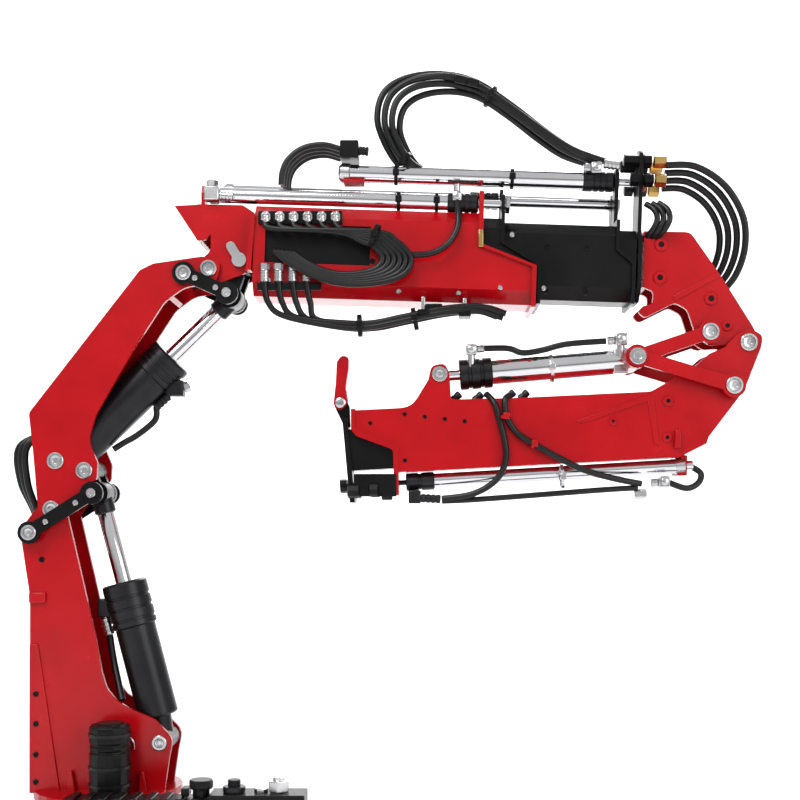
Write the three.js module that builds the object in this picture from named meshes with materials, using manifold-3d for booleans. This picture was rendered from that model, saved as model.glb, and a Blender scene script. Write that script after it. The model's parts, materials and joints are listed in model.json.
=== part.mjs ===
// Hydraulic arm kit: a folding loader crane arm at model scale.
// Millimetres, +Z up, the arm reaches along +X. The origin is on the slewing axis, on the underside of the base.
import * as THREE from "three";
import { mergeVertices } from "three/addons/utils/BufferGeometryUtils.js";
import Module from "manifold-3d";

const wasm = await Module();
wasm.setup();

// ---- driving dimensions -------------------------------------------------------------------------
// Pivots, as [x, z]. Every pivot's axis runs along Y.
const PIVOT = {
  A1: [-28.3, 129], // lift link on the column
  P1: [-20, 138.4], // inner boom on the column
  B1: [-6.8, 153.9], // lift link on the inner boom
  C1: [-3.3, 144.8], // where both lift links and the lift rod meet
  D1: [23, 44.1], // foot of the lift cylinder
  A2: [33.5, 232.8], // knuckle link on the inner boom
  P2: [43.1, 235], // outer boom on the inner boom
  B2: [55.4, 238.5], // knuckle link on the outer boom
  C2: [50.7, 224.9], // where both knuckle links and the knuckle rod meet
  D2: [-18.3, 157.8], // foot of the knuckle cylinder
  A3: [244.8, 209.7], // upper jib link on the jib bracket
  P3: [260.7, 205.7], // jib on the jib bracket
  B3: [253.8, 187.9], // lower jib link on the jib
  C3: [215, 199.5], // where both jib links and the jib cylinder meet
  D3: [136, 192.9], // rod eye of the jib cylinder
};
// Side plates lie in layers, each a distance from the middle plane on both sides.
const LAYER = {
  eye: [0, 4.6],
  innerLink: [5, 8],
  column: [8.8, 10.6],
  boom: [10.9, 12.7],
  link: [13.3, 15.2],
  bracket: [6, 8],
  jib: [8.4, 10.4],
  jibUpper: [10.8, 12.7],
  jibLower: [13.1, 15],
};
const GAP = 0.3;
const PIN = 2.6;
const SMALL_PIN = 2;
const BOOM_TILT = THREE.MathUtils.degToRad(1.9);
const BOOM_ORIGIN = [60, 240];
// Outer boom section: half width, bottom, top and the height of its slanted facets.
const SECTION = { half: 14, low: -15.5, high: 21, facet: 5 };
const WALL = 1.2;
// How far each section's outside lies inside the outer boom's.
const NEST = { outer: 0, first: 1.5, second: 2.8, third: 4.1 };
const BASE = { top: 14, beam: 29, turntable: 22 };

// ---- materials ----------------------------------------------------------------------------------
const paint = (color, roughness, metalness) => new THREE.MeshStandardMaterial({ color, roughness, metalness });
const RED = paint(0xc8121c, 0.35, 0);
const BLACK = paint(0x151515, 0.45, 0.1);
const ANODISED = paint(0x262626, 0.35, 0.6);
const CHROME = paint(0xd8d8da, 0.12, 1);
const STEEL = paint(0xb4b6b8, 0.3, 1);
const BRASS = paint(0xb08a3c, 0.3, 1);
const RUBBER = paint(0x1a1a1a, 0.6, 0);

// ---- solids -------------------------------------------------------------------------------------
const root = new THREE.Group();
const boomFrame = new THREE.Group();
boomFrame.position.set(BOOM_ORIGIN[0], 0, BOOM_ORIGIN[1]);
boomFrame.rotation.y = BOOM_TILT;
root.add(boomFrame);

function add(name, geometry, material, parent = root) {
  const mesh = new THREE.Mesh(geometry, material);
  mesh.name = name;
  parent.add(mesh);
  return mesh;
}

function solid(geometry) {
  const bare = geometry.index ? geometry.toNonIndexed() : geometry.clone();
  for (const key of Object.keys(bare.attributes)) {
    if (key !== "position") bare.deleteAttribute(key);
  }
  const merged = mergeVertices(bare, 1e-4);
  return new wasm.Manifold(
    new wasm.Mesh({
      numProp: 3,
      vertProperties: new Float32Array(merged.attributes.position.array),
      triVerts: new Uint32Array(merged.index.array),
    }),
  );
}

function geometryOf(manifold) {
  const mesh = manifold.getMesh();
  const geometry = new THREE.BufferGeometry();
  geometry.setAttribute("position", new THREE.BufferAttribute(mesh.vertProperties, 3));
  geometry.setIndex(new THREE.BufferAttribute(mesh.triVerts, 1));
  return geometry;
}

function join(...geometries) {
  let whole = solid(geometries[0]);
  for (const geometry of geometries.slice(1)) whole = whole.add(solid(geometry));
  return geometryOf(whole);
}

function cut(geometry, ...tools) {
  let rest = solid(geometry);
  for (const tool of tools) rest = rest.subtract(solid(tool));
  return geometryOf(rest);
}

// A corner is [x, z] or [x, z, fillet radius].
function outline(corners) {
  const shape = new THREE.Shape();
  const count = corners.length;
  corners.forEach(([x, z, radius = 0], i) => {
    const here = new THREE.Vector2(x, z);
    const before = new THREE.Vector2(...corners[(i + count - 1) % count].slice(0, 2));
    const after = new THREE.Vector2(...corners[(i + 1) % count].slice(0, 2));
    const back = before.sub(here);
    const on = after.sub(here);
    const half = Math.acos(THREE.MathUtils.clamp(back.dot(on) / (back.length() * on.length()), -1, 1)) / 2;
    const reach = Math.min(radius / Math.tan(half), back.length() * 0.49, on.length() * 0.49);
    const start = here.clone().addScaledVector(back.normalize(), reach);
    const end = here.clone().addScaledVector(on.normalize(), reach);
    if (i === 0) shape.moveTo(start.x, start.y);
    else shape.lineTo(start.x, start.y);
    if (radius > 0) shape.quadraticCurveTo(x, z, end.x, end.y);
  });
  shape.closePath();
  return shape;
}

function circle([x, z], radius, sides = 12) {
  return Array.from({ length: sides }, (_, i) => {
    const angle = (i / sides) * Math.PI * 2;
    return new THREE.Vector2(x + Math.cos(angle) * radius, z + Math.sin(angle) * radius);
  });
}

function withHoles(shape, ...holes) {
  for (const [at, radius] of holes) shape.holes.push(new THREE.Path(circle(at, radius)));
  return shape;
}

// A shape drawn in X and Z, filled from y = from to y = to.
function slab(shape, from, to, curveSegments = 3) {
  const geometry = new THREE.ExtrudeGeometry(shape, { depth: to - from, bevelEnabled: false, curveSegments });
  geometry.rotateX(Math.PI / 2);
  geometry.translate(0, to, 0);
  return geometry;
}

// The same shape on the near and the far side.
function pair(shape, [inner, outer], curveSegments = 3) {
  return [slab(shape, -outer, -inner, curveSegments), slab(shape, inner, outer, curveSegments)];
}

function block(x0, x1, y0, y1, z0, z1) {
  const geometry = new THREE.BoxGeometry(x1 - x0, y1 - y0, z1 - z0);
  geometry.translate((x0 + x1) / 2, (y0 + y1) / 2, (z0 + z1) / 2);
  return geometry;
}

// Outline of a strap between two round ends.
function strap([ax, az], ra, [bx, bz], rb, waist) {
  const direction = Math.atan2(bz - az, bx - ax);
  const side = new THREE.Vector2(-Math.sin(direction), Math.cos(direction)).multiplyScalar(waist / 2);
  const bar = new THREE.Shape([
    new THREE.Vector2(ax - side.x, az - side.y),
    new THREE.Vector2(bx - side.x, bz - side.y),
    new THREE.Vector2(bx + side.x, bz + side.y),
    new THREE.Vector2(ax + side.x, az + side.y),
  ]);
  return [new THREE.Shape(circle([ax, az], ra, 16)), new THREE.Shape(circle([bx, bz], rb, 16)), bar];
}

// One flat link on one side: round ends, a waist, and open holes.
function linkPlate([from, to], a, ra, b, rb, waist, holes) {
  const body = join(...strap(a, ra, b, rb, waist).map((shape) => slab(shape, from, to)));
  return cut(body, ...holes.map(([at, radius]) => rod(at, radius, from - 1, to + 1)));
}

// A round bar along Y through [x, z].
function rod([x, z], radius, from, to, sides = 12) {
  const geometry = new THREE.CylinderGeometry(radius, radius, to - from, sides);
  geometry.translate(x, (from + to) / 2, z);
  return geometry;
}

// A pin along Y: steps is a list of [y, radius] from the middle outwards, mirrored to the far side.
function pin([x, z], steps, sides = 12) {
  const profile = [];
  let previous = 0;
  for (const [y, radius] of steps) {
    profile.push(new THREE.Vector2(radius, previous), new THREE.Vector2(radius, y));
    previous = y;
  }
  profile.push(new THREE.Vector2(0, previous));
  const mirrored = profile.slice(1).map((point) => new THREE.Vector2(point.x, -point.y));
  const whole = [...mirrored.reverse(), ...profile.slice(1)];
  const geometry = new THREE.LatheGeometry(whole, sides);
  geometry.translate(x, 0, z);
  return geometry;
}

// A turned body along the line from a to b, in the middle plane unless y says otherwise.
// profile lists [distance along the line, radius]; it is closed on the axis at both ends.
function turned(a, b, profile, y = 0, sides = 16) {
  const points = profile.map(([along, radius]) => new THREE.Vector2(radius, along));
  points.unshift(new THREE.Vector2(0, profile[0][0]));
  points.push(new THREE.Vector2(0, profile.at(-1)[0]));
  const geometry = new THREE.LatheGeometry(points, sides);
  const direction = new THREE.Vector3(b[0] - a[0], 0, b[1] - a[1]).normalize();
  geometry.applyQuaternion(new THREE.Quaternion().setFromUnitVectors(new THREE.Vector3(0, 1, 0), direction));
  geometry.translate(a[0], y, a[1]);
  return geometry;
}

function tube(points, radius, steps, sides = 8) {
  const curve = new THREE.CatmullRomCurve3(points.map((point) => new THREE.Vector3(...point)));
  const round = new THREE.Shape(circle([0, 0], radius, sides));
  return new THREE.ExtrudeGeometry(round, { steps, extrudePath: curve, bevelEnabled: false });
}

function hexPrism(acrossFlats, x, y, z0, z1) {
  const geometry = new THREE.CylinderGeometry(acrossFlats / Math.sqrt(3), acrossFlats / Math.sqrt(3), z1 - z0, 6);
  geometry.rotateX(Math.PI / 2);
  geometry.translate(x, y, (z0 + z1) / 2);
  return geometry;
}

function upright(radius, x, y, z0, z1, sides = 16) {
  const geometry = new THREE.CylinderGeometry(radius, radius, z1 - z0, sides);
  geometry.rotateX(Math.PI / 2);
  geometry.translate(x, y, (z0 + z1) / 2);
  return geometry;
}

const distance = (a, b) => Math.hypot(b[0] - a[0], b[1] - a[1]);
const along = (a, b, d) => [a[0] + ((b[0] - a[0]) * d) / distance(a, b), a[1] + ((b[1] - a[1]) * d) / distance(a, b)];

// ---- base and slewing column --------------------------------------------------------------------
function base() {
  const plate = block(-34, 34, -34, 34, 0, 10);
  const drum = upright(22, 0, 0, 9, BASE.top, 24);
  const beam = block(-6.4, 48.6, -48, -35, 4, BASE.beam);
  const foot = block(-6.4, 48.6, -48, -30, 0, 9);
  const holes = [];
  for (const x of [-28, 28]) {
    for (const y of [-28, 28]) holes.push(upright(2.2, x, y, -1, 11, 8));
  }
  add("base_frame", cut(join(plate, drum, beam, foot), ...holes), BLACK);
}

function slewRing() {
  const teeth = 32;
  const shape = new THREE.Shape();
  for (let i = 0; i < teeth; i++) {
    for (const [turn, radius] of [[0, 22.6], [0.3, 24.4], [0.6, 24.4], [0.9, 22.6]]) {
      const angle = ((i + turn) / teeth) * Math.PI * 2;
      const point = [Math.cos(angle) * radius, Math.sin(angle) * radius];
      if (i === 0 && turn === 0) shape.moveTo(...point);
      else shape.lineTo(...point);
    }
  }
  shape.closePath();
  withHoles(shape, [[0, 0], 16]);
  const geometry = new THREE.ExtrudeGeometry(shape, { depth: 6.2, bevelEnabled: false, curveSegments: 6 });
  geometry.translate(0, 0, BASE.top + GAP);
  add("slew_ring", geometry, ANODISED);
}

function valveGroup() {
  const cap = [upright(4, 57.8, -41.5, 31, 33.2), upright(2.4, 57.8, -41.5, 33, 36, 16)];
  add("valve_block", join(block(49, 85, -48, -35, 4, 31.2), ...cap), BLACK);
  const knob = join(upright(3.2, 45.3, -41.5, BASE.beam + GAP, 33), upright(4.2, 45.3, -41.5, 32.6, 36, 16));
  add("valve_knob", knob, BLACK);
  add("port_nut", join(hexPrism(7.2, 74.8, -41.5, 31.5, 35.6), upright(2.2, 74.8, -41.5, 35, 37, 16)), STEEL);
}

function column() {
  const { A1, P1, D1 } = PIVOT;
  const plate = outline([
    [-29.2, 24],
    [-29.2, 103],
    [-32.8, 127, 2],
    [-31, 133, 3],
    [-24, 142, 4],
    [-16, 143.4, 3],
    [-13.6, 134, 3],
    [-10.7, 121.4, 30],
    [-2.4, 85.5, 60],
    [1.6, 62, 26],
    [21, 53.6, 4],
    [28.6, 46, 6],
    [27, 38, 8],
    [25, 24],
  ]);
  withHoles(plate, [A1, SMALL_PIN + GAP], [P1, PIN + GAP], [D1, SMALL_PIN + GAP]);
  const back = outline([[-29.2, 24], [-29.2, 103], [-31.4, 118], [-29.4, 118], [-27.2, 103], [-27.2, 24]]);
  const web = outline([[-14, 24], [-10, 92], [-12, 92], [-16, 24]]);
  const foot = upright(29.8, 0, 0, BASE.turntable, 25, 28);
  const collar = upright(15, 0, 0, BASE.top + 2, BASE.turntable + 1, 16);
  const sides = pair(plate, LAYER.column);
  const inside = LAYER.column[0] + 0.4;
  add("column", join(...sides, slab(back, -inside, inside), slab(web, -inside, inside), foot, collar), RED);
  add("slew_motor", slewMotor(), BLACK);
  add("link_pin_lower", pin(A1, [[10.9, SMALL_PIN], [13, 3.6], [16, SMALL_PIN]]), STEEL);
  add("boom_pin_lower", pin(P1, [[13, PIN]]), STEEL);
  add("lift_foot_pin", pin(D1, [[11.4, SMALL_PIN]]), STEEL);
}

// The motor that turns the column stands on the turntable, beside the near side plate.
function slewMotor() {
  const at = [5.4, -20];
  const body = new THREE.LatheGeometry(
    [[0, 25.3], [8, 25.3], [8, 42.4], [7.5, 42.6], [7.5, 43.4], [8, 43.6], [8, 45], [7.5, 45.2], [7.5, 46]]
      .concat([[8, 46.2], [8, 52.4], [7, 53.4], [0, 53.4]])
      .map(([radius, height]) => new THREE.Vector2(radius, height)),
    16,
  );
  body.rotateX(Math.PI / 2);
  body.translate(at[0], at[1], 0);
  return body;
}

// ---- double links and their cylinders -----------------------------------------------------------
// Outer links, on both sides, carry the pin heads of the pivot that floats between the links.
function outerLinks(name, fixed, floating) {
  for (const [side, y] of [["near", -1], ["far", 1]]) {
    const span = y < 0 ? [-LAYER.link[1], -LAYER.link[0]] : LAYER.link;
    const plate = linkPlate(span, fixed, 4.6, floating, 4.6, 5.6, [[fixed, SMALL_PIN + GAP]]);
    const tip = y < 0 ? [-16, -14] : [14, 16];
    const heads = [rod(floating, SMALL_PIN, ...tip)];
    const bolts = y < 0 ? [-15.7, -14] : [14, 15.7];
    for (const share of [0.27, 0.75]) {
      heads.push(rod(along(fixed, floating, distance(fixed, floating) * share), 1.2, ...bolts, 12));
    }
    add(`${name}_${side}`, join(plate, ...heads), BLACK);
  }
}

// The inner link: two thick plates joined by the sleeve that turns on its pin.
function innerLink(name, hinge, floating) {
  const radius = 4.1;
  const plates = [-1, 1].map((y) => {
    const span = y < 0 ? [-LAYER.innerLink[1], -LAYER.innerLink[0]] : LAYER.innerLink;
    return linkPlate(span, hinge, radius, floating, 4.9, 6.2, [[floating, 1.6]]);
  });
  const sleeve = rod(hinge, radius, -5.5, 5.5);
  add(name, cut(join(...plates, sleeve), rod(hinge, PIN + GAP, -9, 9)), BLACK);
}

function cylinderBarrel(name, foot, head, profile, eyeRadius, pinRadius, port) {
  const body = turned(foot, head, profile);
  const eye = rod(foot, eyeRadius, -7.4, 7.4);
  const neck = turned(foot, head, [[0, 4.2], [profile[0][0] + 1, 5.4]]);
  add(name, cut(join(body, neck, eye, ...port), rod(foot, pinRadius + GAP, -8, 8)), ANODISED);
}

function cylinderRod(name, head, foot, reach) {
  const eye = rod(head, 4.7, -LAYER.eye[1], LAYER.eye[1]);
  const shank = turned(head, foot, [[0, 3.4], [reach, 3.4]]);
  const boss = turned(head, foot, [[2, 4.3], [8.5, 4.3]]);
  add(name, cut(join(shank, boss, eye), rod(head, 1.6, -6, 6, 16)), CHROME);
}

// A hollow barrel closed by its head: the rod runs in the bore.
function barrelProfile(start, headStart, headEnd, radius, headRadius) {
  return [
    [start, radius - 1.2],
    [start + 1, radius],
    [headStart, radius],
    [headStart + 0.6, headRadius],
    [headStart + 4.4, headRadius],
    [headStart + 4.6, headRadius - 0.4],
    [headStart + 5.4, headRadius - 0.4],
    [headStart + 5.6, headRadius],
    [headEnd - 1, headRadius],
    [headEnd, headRadius - 1.2],
    [headEnd, 3.8],
    [start + 6, 3.8],
  ];
}

function liftGroup() {
  const { A1, B1, C1, D1 } = PIVOT;
  outerLinks("lift_link", A1, C1);
  innerLink("lift_link_inner", B1, C1);
  const profile = barrelProfile(9.5, 47.6, 66.5, 8.2, 9.2);
  const at = along(D1, C1, 52);
  const port = block(at[0] - 12.5, at[0] - 6, -3.2, 3.2, at[1] - 4.5, at[1] + 3.5);
  cylinderBarrel("lift_cylinder", D1, C1, profile, 4.6, SMALL_PIN, [port]);
  cylinderRod("lift_rod", C1, D1, distance(C1, D1) - 38);
}

function knuckleGroup() {
  const { A2, B2, C2, D2 } = PIVOT;
  outerLinks("knuckle_link", A2, C2);
  innerLink("knuckle_link_inner", B2, C2);
  const profile = barrelProfile(9.6, 50.5, 62, 8.8, 9.4);
  const at = along(D2, C2, 55);
  const port = block(at[0] + 3, at[0] + 10, -3.2, 3.2, at[1] - 11.5, at[1] - 5);
  cylinderBarrel("knuckle_cylinder", D2, C2, profile, 5.2, PIN, [port]);
  cylinderRod("knuckle_rod", C2, D2, distance(C2, D2) - 32);
}

// ---- inner boom ---------------------------------------------------------------------------------
function innerBoom() {
  const { P1, B1, D2, A2, P2 } = PIVOT;
  const plate = outline([
    [-25.2, 136.6, 3],
    [-27.1, 159.3, 20],
    [-29, 177, 3],
    [15.5, 234.3, 3],
    [21, 237, 6],
    [40.4, 239.8, 3],
    [48.6, 238.6, 5],
    [46.2, 229.4, 4],
    [33.5, 227.4, 10],
    [25.5, 221.6, 12],
    [13.5, 203.1],
    [-2, 176.4, 10],
    [-5.2, 166, 10],
    [-1.4, 157, 3],
    [-1.8, 149.4, 3.5],
    [-5.6, 149.8, 3],
    [-16.4, 133, 4.5],
    [-24, 131.6, 4],
  ]);
  withHoles(plate, [P1, PIN + GAP], [B1, PIN + GAP], [D2, PIN + GAP], [A2, SMALL_PIN + GAP], [P2, PIN + GAP]);
  const back = outline([
    [-28.4, 172],
    [-29, 177, 3],
    [15.5, 234.3, 3],
    [21, 237, 6],
    [26, 237.7],
    [26, 235.6],
    [21.6, 235, 5],
    [16.8, 232.6, 3],
    [-26.8, 176.4, 3],
    [-26.3, 172],
  ]);
  const inside = LAYER.boom[0] + 0.4;
  const ribs = [
    outline([[-26.6, 176.6], [-16, 184], [-16, 186.5], [-24.4, 179.8]]),
    outline([[17, 232.4], [27, 222.8], [28.6, 224.2], [19.4, 234]]),
  ];
  const webs = [back, ...ribs].map((shape) => slab(shape, -inside, inside));
  add("inner_boom", join(...pair(plate, LAYER.boom), ...webs), RED);
  add("lift_link_pin", pin(B1, [[13, PIN]]), STEEL);
  add("knuckle_foot_pin", pin(D2, [[13, PIN]]), STEEL);
  add("link_pin_upper", pin(A2, [[16, SMALL_PIN]]), STEEL);
  add("boom_pin_upper", pin(P2, [[13, PIN]]), STEEL);
}

// ---- telescopic boom, in its own tilted frame: u along the boom, v square to it -----------------
// The boom's cross-section, drawn in Y and Z and drawn smaller by inset.
function section(inset) {
  const half = SECTION.half - inset;
  const low = SECTION.low + inset;
  const high = SECTION.high - inset;
  const facet = SECTION.facet;
  return [
    [-half, low + facet],
    [-half + facet, low],
    [half - facet, low],
    [half, low + facet],
    [half, high - facet],
    [half - facet, high],
    [-half + facet, high],
    [-half, high - facet],
  ];
}

const asShape = (points) => new THREE.Shape(points.map(([y, v]) => new THREE.Vector2(y, v)));

// A prism of a shape in Y and Z, from u = from to u = to.
function prism(shape, from, to) {
  const geometry = new THREE.ExtrudeGeometry(shape, { depth: to - from, bevelEnabled: false });
  geometry.applyMatrix4(new THREE.Matrix4().makeBasis(
    new THREE.Vector3(0, 1, 0),
    new THREE.Vector3(0, 0, 1),
    new THREE.Vector3(1, 0, 0),
  ));
  geometry.translate(from, 0, 0);
  return geometry;
}

// A box section, hollow right through.
function boxSection(inset, from, to) {
  const shape = asShape(section(inset));
  shape.holes.push(new THREE.Path(section(inset + WALL).map(([y, v]) => new THREE.Vector2(y, v))));
  return prism(shape, from, to);
}

// A frame around the end of a box section, standing out by rise, with a slanted middle part.
function slantedCollar(inset, upper, lower, thickness, rise) {
  const outside = SECTION.half - inset + rise;
  const [upperU, upperV] = upper;
  const [lowerU, lowerV] = lower;
  const ribbon = outline([
    [upperU, SECTION.high - inset + rise],
    [upperU, upperV],
    [lowerU, lowerV],
    [lowerU, SECTION.low + inset - rise],
    [lowerU + thickness, SECTION.low + inset - rise],
    [lowerU + thickness, lowerV + 0.6],
    [upperU + thickness, upperV + 0.6],
    [upperU + thickness, SECTION.high - inset + rise],
  ]);
  const bore = prism(asShape(section(inset + WALL)), upperU - 2, lowerU + thickness + 2);
  return { ribbon: slab(ribbon, -outside, outside), bore };
}

// What lies above the slanted end of a section and is cut away.
function beyond([upperU, upperV], [lowerU, lowerV]) {
  const shape = outline([
    [upperU, 60],
    [upperU, upperV],
    [lowerU, lowerV],
    [lowerU, -60],
    [lowerU + 80, -60],
    [lowerU + 80, 60],
  ]);
  return slab(shape, -40, 40);
}

const OUTER_END = { upper: [91.2, 6.8], lower: [113, -1] };
const FIRST_END = { upper: [100.2, 8.4], lower: [115.4, -0.2] };
const SECOND_END = { upper: [146.6, 7.4], lower: [153.4, 2] };
const RAM = { near: { y: -7, v: 25.3 }, far: { y: 8.6, v: 30.4 }, top: { y: 0, v: 37.7 } };

function slantedSection(inset, from, end, collarThickness, rise, extras, bores) {
  const body = cut(boxSection(inset, from, end.lower[0] + 0.5), beyond(end.upper, end.lower));
  const { ribbon, bore } = slantedCollar(inset, end.upper, end.lower, collarThickness, rise);
  return cut(join(body, ribbon, ...extras), bore, ...bores);
}

// A lug plate that stands across the boom and holds a ram's head: its bore is open for the ram.
function ramPlate(u0, u1, y, v, radius, foot, width) {
  const disc = turned([u0, v], [u1, v], [[0, radius], [u1 - u0, radius]], y, 12);
  return [disc, block(u0, u1, y - width / 2, y + width / 2, foot, v)];
}

const ramBore = (u0, u1, { y, v }, radius) => turned([u0, v], [u1, v], [[0, radius], [u1 - u0, radius]], y, 12);

function outerBoom() {
  const { P2, B2 } = PIVOT;
  const local = ([x, z]) => {
    const dx = x - BOOM_ORIGIN[0];
    const dz = z - BOOM_ORIGIN[1];
    const c = Math.cos(BOOM_TILT);
    const s = Math.sin(BOOM_TILT);
    return [dx * c - dz * s, dx * s + dz * c];
  };
  const cheek = outline([
    [-22.4, 20.6],
    [-22.6, 8, 3],
    [-19, 5.4, 3],
    [-16.6, 9],
    [-16.4, 2, 4],
    [-21.8, -3.4, 4],
    [-19.6, -10.4, 5],
    [-12.6, -11, 2],
    [-1.6, -6.4, 2],
    [-0.2, 4],
    [0.6, 18],
    [-4, 20.8],
  ]);
  withHoles(cheek, [local(P2), PIN + GAP], [local(B2), PIN + GAP]);
  const tail = outline([[-31.6, 19.6], [-22, 6], [-20, 6], [-20, 20.6]]);
  const rails = [
    ...pair(cheek, LAYER.column),
    slab(tail, -LAYER.column[1], LAYER.column[1]),
    ...pair(outline([[-1.4, -6], [0.6, -6], [1.6, 16], [-0.4, 16]]), [LAYER.column[0], 15]),
  ];
  const plates = [
    ...ramPlate(OUTER_END.upper[0], OUTER_END.upper[0] + 1.8, RAM.near.y, RAM.near.v, 5.4, 18, 8),
    ...ramPlate(-21, -19.4, RAM.near.y, RAM.near.v, 3.6, 18, 6),
  ];
  const window = block(5.8, 48, -16, -12, -2.6, 13);
  const body = slantedSection(NEST.outer, 1.2, OUTER_END, 1.8, 1.6, [...rails, ...plates], [
    window,
    ramBore(OUTER_END.upper[0] - 1, OUTER_END.upper[0] + 3, RAM.near, 3),
  ]);
  add("outer_boom", body, RED, boomFrame);
  const keeper = join(
    rod(B2, PIN, -13.2, 13.2),
    ...strap(B2, 2.9, [B2[0] - 3.3, B2[1] + 5.4], 1.8, 3.6).map((shape) => slab(shape, -13.2, -11)),
  );
  add("knuckle_link_pin", keeper, STEEL);
}

// A ram along the boom: chrome barrel, black gland, and a rod of its own.
function ramBarrel(name, { y, v }, from, to, radius, glandRadius, gland, bore) {
  const profile = [
    [0, radius - 0.6],
    [0.6, radius],
    [to - from - gland, radius],
    [to - from - gland, glandRadius],
    [to - from, glandRadius],
    [to - from, bore],
    [4, bore],
  ];
  add(name, turned([from, v], [to, v], profile, y, 12), CHROME, boomFrame);
}

function ramRod(name, { y, v }, from, to, radius, nut) {
  const shank = turned([from, v], [to, v], [[0, radius], [to - from, radius]], y, 10);
  const lock = turned([nut[0], v], [nut[1], v], [[0, 3.4], [nut[1] - nut[0], 3.4]], y, 6);
  add(name, join(shank, lock), STEEL, boomFrame);
}

function extensions() {
  const { near, far, top } = RAM;
  const firstU = FIRST_END.upper[0];
  const secondU = SECOND_END.upper[0];
  const first = slantedSection(NEST.first, 2, FIRST_END, 1.4, 1.5, [
    ...ramPlate(firstU, firstU + 1.4, near.y, near.v, 4.2, 16, 7),
    ...ramPlate(firstU, firstU + 1.4, far.y, far.v, 5, 16, 8),
  ], [ramBore(firstU - 1, firstU + 3, near, 1.9), ramBore(firstU - 1, firstU + 3, far, 3.4)]);
  add("first_extension", first, BLACK, boomFrame);
  const second = slantedSection(NEST.second, 32, SECOND_END, 1.4, 1.4, [
    ...ramPlate(secondU, secondU + 1.6, far.y, far.v, 4, 15, 7),
    ...ramPlate(secondU, secondU + 1.6, top.y, top.v, 5, 15, 7),
  ], [ramBore(secondU - 1, secondU + 3, far, 2.9), ramBore(secondU - 1, secondU + 3, top, 4)]);
  add("second_extension", second, BLACK, boomFrame);
  add("third_extension", boxSection(NEST.third, 62, 155.6), BLACK, boomFrame);
  ramBarrel("boom_ram_first", near, -19, 90.9, 3.1, 3.9, 12.5, 1.9);
  ramRod("boom_rod_first", near, 20, 103.6, 1.6, [101.9, 103.6]);
  ramBarrel("boom_ram_second", far, -15, 99.8, 3.1, 3.6, 12, 3);
  ramRod("boom_rod_second", far, 30, 150.6, 2.6, [148.5, 150.6]);
  ramBarrel("boom_ram_third", top, 33.4, 146.3, 3.6, 4.1, 12.6, 1.9);
  ramRod("boom_rod_third", top, 60, 159.8, 1.6, [157.9, 159.8]);
  const plate = join(
    prism(asShape(section(NEST.third - 1)), 155.9, 157.5),
    block(155.9, 157.5, -7, 7, 10, 44),
    turned([155.9, 44], [157.5, 44], [[0, 7], [1.6, 7]]),
  );
  const ports = [-4.6, 4.6].map((y) => turned([155, 45.6], [159, 45.6], [[0, 1.7], [4, 1.7]], y, 16));
  add("end_plate", cut(plate, ...ports, ramBore(155, 159, top, 1.9)), BLACK, boomFrame);
  bulkheadUnions();
}

// Hose unions through the end plate, one row for the loop behind it and the hoses in front of it.
function bulkheadUnions() {
  for (const [name, y] of [["union_near", -4.6], ["union_far", 4.6]]) {
    const profile = [[-9, 1.4], [-6, 1.4], [-6, 2.6], [-0.4, 2.6], [-0.4, 1.4], [1.9, 1.4], [1.9, 2.6], [5.2, 2.6]];
    profile.push([5.2, 1.5], [6.4, 1.5], [6.4, 2.7], [10.4, 2.7]);
    add(name, turned([155.9, 45.6], [160, 45.6], profile, y, 6), BRASS, boomFrame);
  }
}

// ---- jib ----------------------------------------------------------------------------------------
function jibBracket() {
  const { A3, P3 } = PIVOT;
  const cheek = outline([
    [218.9, 251],
    [237.6, 250.6, 4],
    [250, 232.9],
    [262.8, 212.6, 3],
    [265.8, 206.6, 3],
    [263.4, 201.4, 3],
    [257.6, 200.8, 3],
    [253.6, 205, 3],
    [245.6, 204.6, 3],
    [239.9, 208.4, 3],
    [236.4, 219.2, 4],
    [231.4, 222, 3],
    [218.9, 215.8, 2],
    [216.2, 218.4, 1.4],
    [218.4, 220.6, 1],
    [222.4, 221.6, 2],
    [222.6, 226.6, 2],
    [218.2, 228.4],
  ]);
  withHoles(cheek, [A3, PIN + GAP], [P3, PIN + GAP]);
  const inside = LAYER.bracket[0] + 0.4;
  const top = outline([[218.9, 251], [237.6, 250.6, 4], [250, 232.9], [256, 223.4], [254.6, 222.6]]
    .concat([[248.6, 232], [236.8, 249, 3], [218.8, 249.4]]));
  const back = outline([[218.2, 228.4], [218.9, 250], [220.5, 250], [219.8, 228]]);
  const webs = [top, back].map((shape) => slab(shape, -inside, inside));
  add("jib_bracket", join(...pair(cheek, LAYER.bracket), ...webs), RED);
  add("jib_link_pin_upper", pin(A3, [[13, PIN]]), STEEL);
  add("jib_pin", pin(P3, [[8.2, PIN], [10.7, PIN], [11.4, 3.4]]), STEEL);
}

function jibLinks(name, fixed, floating, span, headRadius) {
  for (const [side, sign] of [["near", -1], ["far", 1]]) {
    const [inner, outer] = span;
    const range = sign < 0 ? [-outer, -inner] : [inner, outer];
    const plate = linkPlate(range, fixed, 4.8, floating, 4.8, 5.6, [[fixed, PIN + GAP]]);
    const head = sign < 0 ? [-outer - 1.2, -outer + 0.5] : [outer - 0.5, outer + 1.2];
    const parts = headRadius ? [plate, rod(floating, headRadius, ...head, 16)] : [plate];
    add(`${name}_${side}`, join(...parts), RED);
  }
}

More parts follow.
